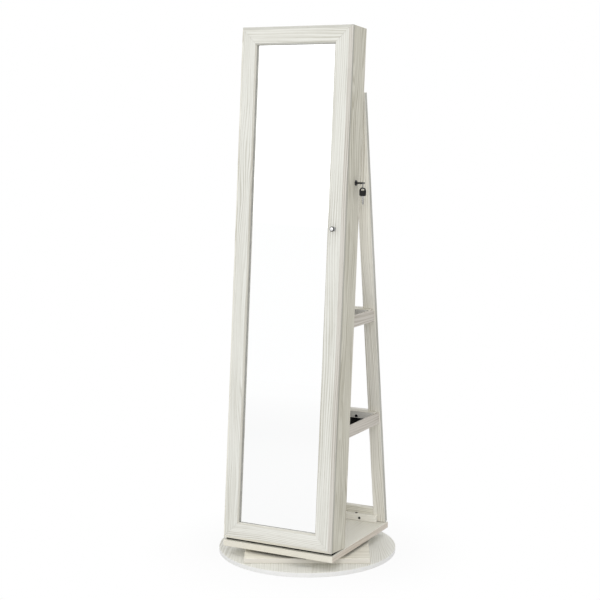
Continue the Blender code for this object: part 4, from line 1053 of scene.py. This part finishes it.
def inside():
    """Fittings inside the cabinet: shelf pins, cover caps, hook tips and the notched earring bar."""
    form = on_both_sides(PIN_PROFILE, PIN_SIDES, [under - PIN_DROP for under in SHELF_UNDERS], PIN_BACKS)
    piece("shelf_pins", form, NICKEL, "armoire")
    form = on_both_sides(CAP_PROFILE, CAP_SIDES, CAP_UPS, CAP_BACKS)
    piece("cover_caps", form, CAP, "armoire")
    form = bmesh.new()
    for index in range(HOOK_COUNT):
        x = (index - (HOOK_COUNT - 1) / 2) * HOOK_PITCH
        lathe(form, HOOK_TIP_PROFILE, at(CABINET, x, HOOK_BACK, HOOK_UP, ("X", 90 - HOOK_TILT)), PIN_SIDES)
    piece("hook_tips", form, NICKEL, "armoire")
    form = bmesh.new()
    half = INNER_HALF - CAD_GAP
    outline = [(-half, COMB_LOW), (half, COMB_LOW), (half, COMB_TOP)]
    for index in range(NOTCH_COUNT):
        middle = ((NOTCH_COUNT - 1) / 2 - index) * NOTCH_PITCH
        outline += [
            (middle + NOTCH_MOUTH, COMB_TOP), (middle + NOTCH_HALF, COMB_TOP - NOTCH_LIP),
            (middle + NOTCH_HALF, COMB_TOP - NOTCH_DEEP), (middle - NOTCH_HALF, COMB_TOP - NOTCH_DEEP),
            (middle - NOTCH_HALF, COMB_TOP - NOTCH_LIP), (middle - NOTCH_MOUTH, COMB_TOP),
        ]
    outline.append((-half, COMB_TOP))
    prism(form, outline, COMB_THICK, at(CABINET, 0.0, COMB_BACK, 0.0, TO_FRONT))
    piece("earring_comb", form, WOOD["across"], "armoire", ["earring_bar"], sharp=20)


def ring_rolls():
    """Ring cushion: four stuffed velvet rolls, pulled in at their ends, with soft dents along them."""
    form = bmesh.new()
    middle = (CARCASS_FRONT + SHELF_SETBACK + LINER_FRONT - CAD_GAP) / 2
    floor = RING_SHELF_TOP + CAD_GAP
    for row in range(ROLL_COUNT):
        back = middle + (row - (ROLL_COUNT - 1) / 2) * 2 * ROLL_RADIUS
        rings = []
        for step in range(ROLL_STEPS + 1):
            x = -math.cos(math.pi * step / ROLL_STEPS) * ROLL_LENGTH / 2
            end = max(ROLL_LENGTH / 2 - abs(x), 0.0)
            swell = math.sqrt(max(1.0 - (1.0 - min(end / ROLL_END, 1.0)) ** 2, 0.0))
            if swell < 1e-4:
                rings.append([form.verts.new(CABINET @ Vector((x, back, floor + ROLL_MIDDLE)))])
                continue
            dent = 1.0 - DENT_DEPTH * (0.5 + 0.5 * math.sin(x * DENT_WAVE + row * DENT_SHIFT))
            dent -= SAG_DEPTH * math.sin(x * SAG_WAVE + row)
            ring = []
            for side in range(ROLL_SIDES):
                angle = 2 * math.pi * side / ROLL_SIDES
                ripple = 1.0 + RIPPLE_DEPTH * math.sin(3 * angle + x * RIPPLE_WAVE)
                out = ROLL_RADIUS * ROLL_FULLNESS * swell * dent * ripple
                rise = max(ROLL_MIDDLE + out * math.sin(angle), SEAT_GAP)
                spot = Vector((x, back + out * ROLL_SQUEEZE * math.cos(angle), floor + rise))
                ring.append(form.verts.new(CABINET @ spot))
            rings.append(ring)
        skin(form, rings)
    rolls = piece("ring_rolls", form, VELVET, "armoire", ["ring_cushion"], sharp=80)


def gap_shade_felts():
    """Painted shade: black felt runners under the swivel board's edges and strips in the gap under the cabinet
    stand in for the dark of those gaps.
    """
    form = bmesh.new()
    for turn in range(4):
        reach = SWIVEL_WIDTH / 2 if turn % 2 == 0 else SWIVEL_DEPTH / 2
        place = at(Matrix.Rotation(math.radians(90 * turn), 4, "Z"), reach - RUNNER_SETBACK, 0.0, 0.0)
        plate(form, (-RUNNER_DEPTH, -RUNNER_LENGTH / 2, SWIVEL_BOTTOM - RUNNER_HEIGHT),
              (0.0, RUNNER_LENGTH / 2, SWIVEL_BOTTOM - SEAT_GAP), place, RUNNER_BEVEL)
    piece("shade_runners", form, FELT_AND_SHADE, "armoire")
    form = bmesh.new()
    floor = SWIVEL_TOP + SEAT_GAP
    across, front = CABINET_WIDTH / 2 - STRIP_SETBACK, -SWIVEL_DEPTH / 2 + FRONT_STRIP_SETBACK
    plate(form, (-across, front, floor), (across, front + STRIP_DEPTH, SWIVEL_TOP + STRIP_HEIGHT), Matrix(),
          STRIP_BEVEL)
    start, end = (CABINET @ Vector((0.0, back, 0.0)) - Vector((0.0, 0.0, drop))
                  for back, drop in SIDE_STRIP_ENDS)
    outline = [(start.y, floor), (end.y, floor), (end.y, end.z), (start.y, start.z)]
    along_x = Matrix(((0, 0, 1, 0), (1, 0, 0, 0), (0, 1, 0, 0), (0, 0, 0, 1)))
    for x in (-across, across - STRIP_DEPTH):
        prism(form, outline, STRIP_DEPTH, Matrix.Translation((x, 0.0, 0.0)) @ along_x)
    piece("gap_shade_strips", form, FELT_AND_SHADE, "armoire")


knob()
lock()
keys()
fasteners()
mirror_trim()
door_stops()
inside()
ring_rolls()
gap_shade_felts()


# Floor, light and camera

def seen_share(tree, plain=1.0, gloss=1.0):
    """How far a surface looks plain white, for the camera's rays and for rays by way of metal or glass."""
    path = add_node(tree, "ShaderNodeLightPath")
    total = 0.0
    for ray, part in (("Is Camera Ray", plain), ("Is Glossy Ray", gloss), ("Is Transmission Ray", gloss)):
        add = add_node(tree, "ShaderNodeMath", operation="MULTIPLY_ADD", use_clamp=True)
        for socket, value in zip(add.inputs, (path.outputs[ray], part, total)):
            plug(tree, socket, value)
        total = add.outputs[0]
    return total


def blend(tree, share, shaded, white, out):
    """Shows a shader and plain white, mixed by the share of white."""
    mixed = add_node(tree, "ShaderNodeMixShader")
    for socket, source in zip(mixed.inputs, (share, shaded.outputs[0], white.outputs[0])):
        plug(tree, socket, source)
    fill(tree, out, Surface=mixed.outputs[0])


def floor_paint():
    """White floor: near the object it still takes a faint shadow, further out it is plain white."""
    paint = bpy.data.materials.new("studio_floor")
    paint.use_nodes = True
    tree = paint.node_tree
    tree.nodes.clear()
    out = add_node(tree, "ShaderNodeOutputMaterial")
    matte = fill(tree, add_node(tree, "ShaderNodeBsdfDiffuse"), Color=FLOOR_COLOUR)
    white = fill(tree, add_node(tree, "ShaderNodeEmission"), Strength=1.0)
    where = add_node(tree, "ShaderNodeTexCoord")
    reach = add_node(tree, "ShaderNodeVectorMath", operation="LENGTH")
    plug(tree, reach.inputs[0], where.outputs["Object"])
    fades = []
    for near, far, start, end in (FLOOR_PLAIN, FLOOR_GLOSS):
        fade = add_node(tree, "ShaderNodeMapRange")
        fill(tree, fade, Value=reach.outputs["Value"], From_Min=near, From_Max=far, To_Min=start, To_Max=end)
        fades.append(fade.outputs["Result"])
    blend(tree, seen_share(tree, *fades), matte, white, out)
    return paint


def aimed(name, data, place, look):
    """A lamp or camera at a place that looks in a direction."""
    item = bpy.data.objects.new(name, data)
    bpy.context.scene.collection.objects.link(item)
    item.location = place
    item.rotation_mode = "QUATERNION"
    item.rotation_quaternion = look.to_track_quat("-Z", "Y")
    return item


def lamp(name, place, towards, size, power):
    """A soft square area light."""
    light = bpy.data.lights.new(name, "AREA")
    light.shape = "SQUARE"
    light.size = size
    light.energy = power
    aimed(name, light, place, Vector(towards) - Vector(place))


def studio():
    """White floor and surround, with soft light from the front, the left and above."""
    floor = bpy.data.meshes.new("floor")
    grid = bmesh.new()
    bmesh.ops.create_grid(grid, x_segments=1, y_segments=1, size=FLOOR_REACH)
    grid.to_mesh(floor)
    grid.free()
    ground = bpy.data.objects.new("floor", floor)
    bpy.context.scene.collection.objects.link(ground)
    floor.materials.append(floor_paint())

    world = bpy.data.worlds.new("studio")
    bpy.context.scene.world = world
    world.use_nodes = True
    tree = world.node_tree
    tree.nodes.clear()
    out = add_node(tree, "ShaderNodeOutputWorld")
    glow, white = (fill(tree, add_node(tree, "ShaderNodeBackground"), Color=WHITE, Strength=strength)
                   for strength in (WORLD_LIGHT, 1.0))
    blend(tree, seen_share(tree), glow, white, out)
    for settings in LAMPS:
        lamp(*settings)


def camera():
    """Camera at the photograph's viewing angle."""
    data = bpy.data.cameras.new("camera")
    data.lens = CAMERA_LENS
    data.sensor_width = CAMERA_SENSOR
    yaw, pitch = math.radians(CAMERA_YAW), math.radians(CAMERA_PITCH)
    look = Vector((-math.sin(yaw) * math.cos(pitch), math.cos(yaw) * math.cos(pitch), math.sin(pitch)))
    bpy.context.scene.camera = aimed("camera", data, CAMERA_AT, look)


studio()
camera()
bpy.context.scene.view_settings.view_transform = "Standard"
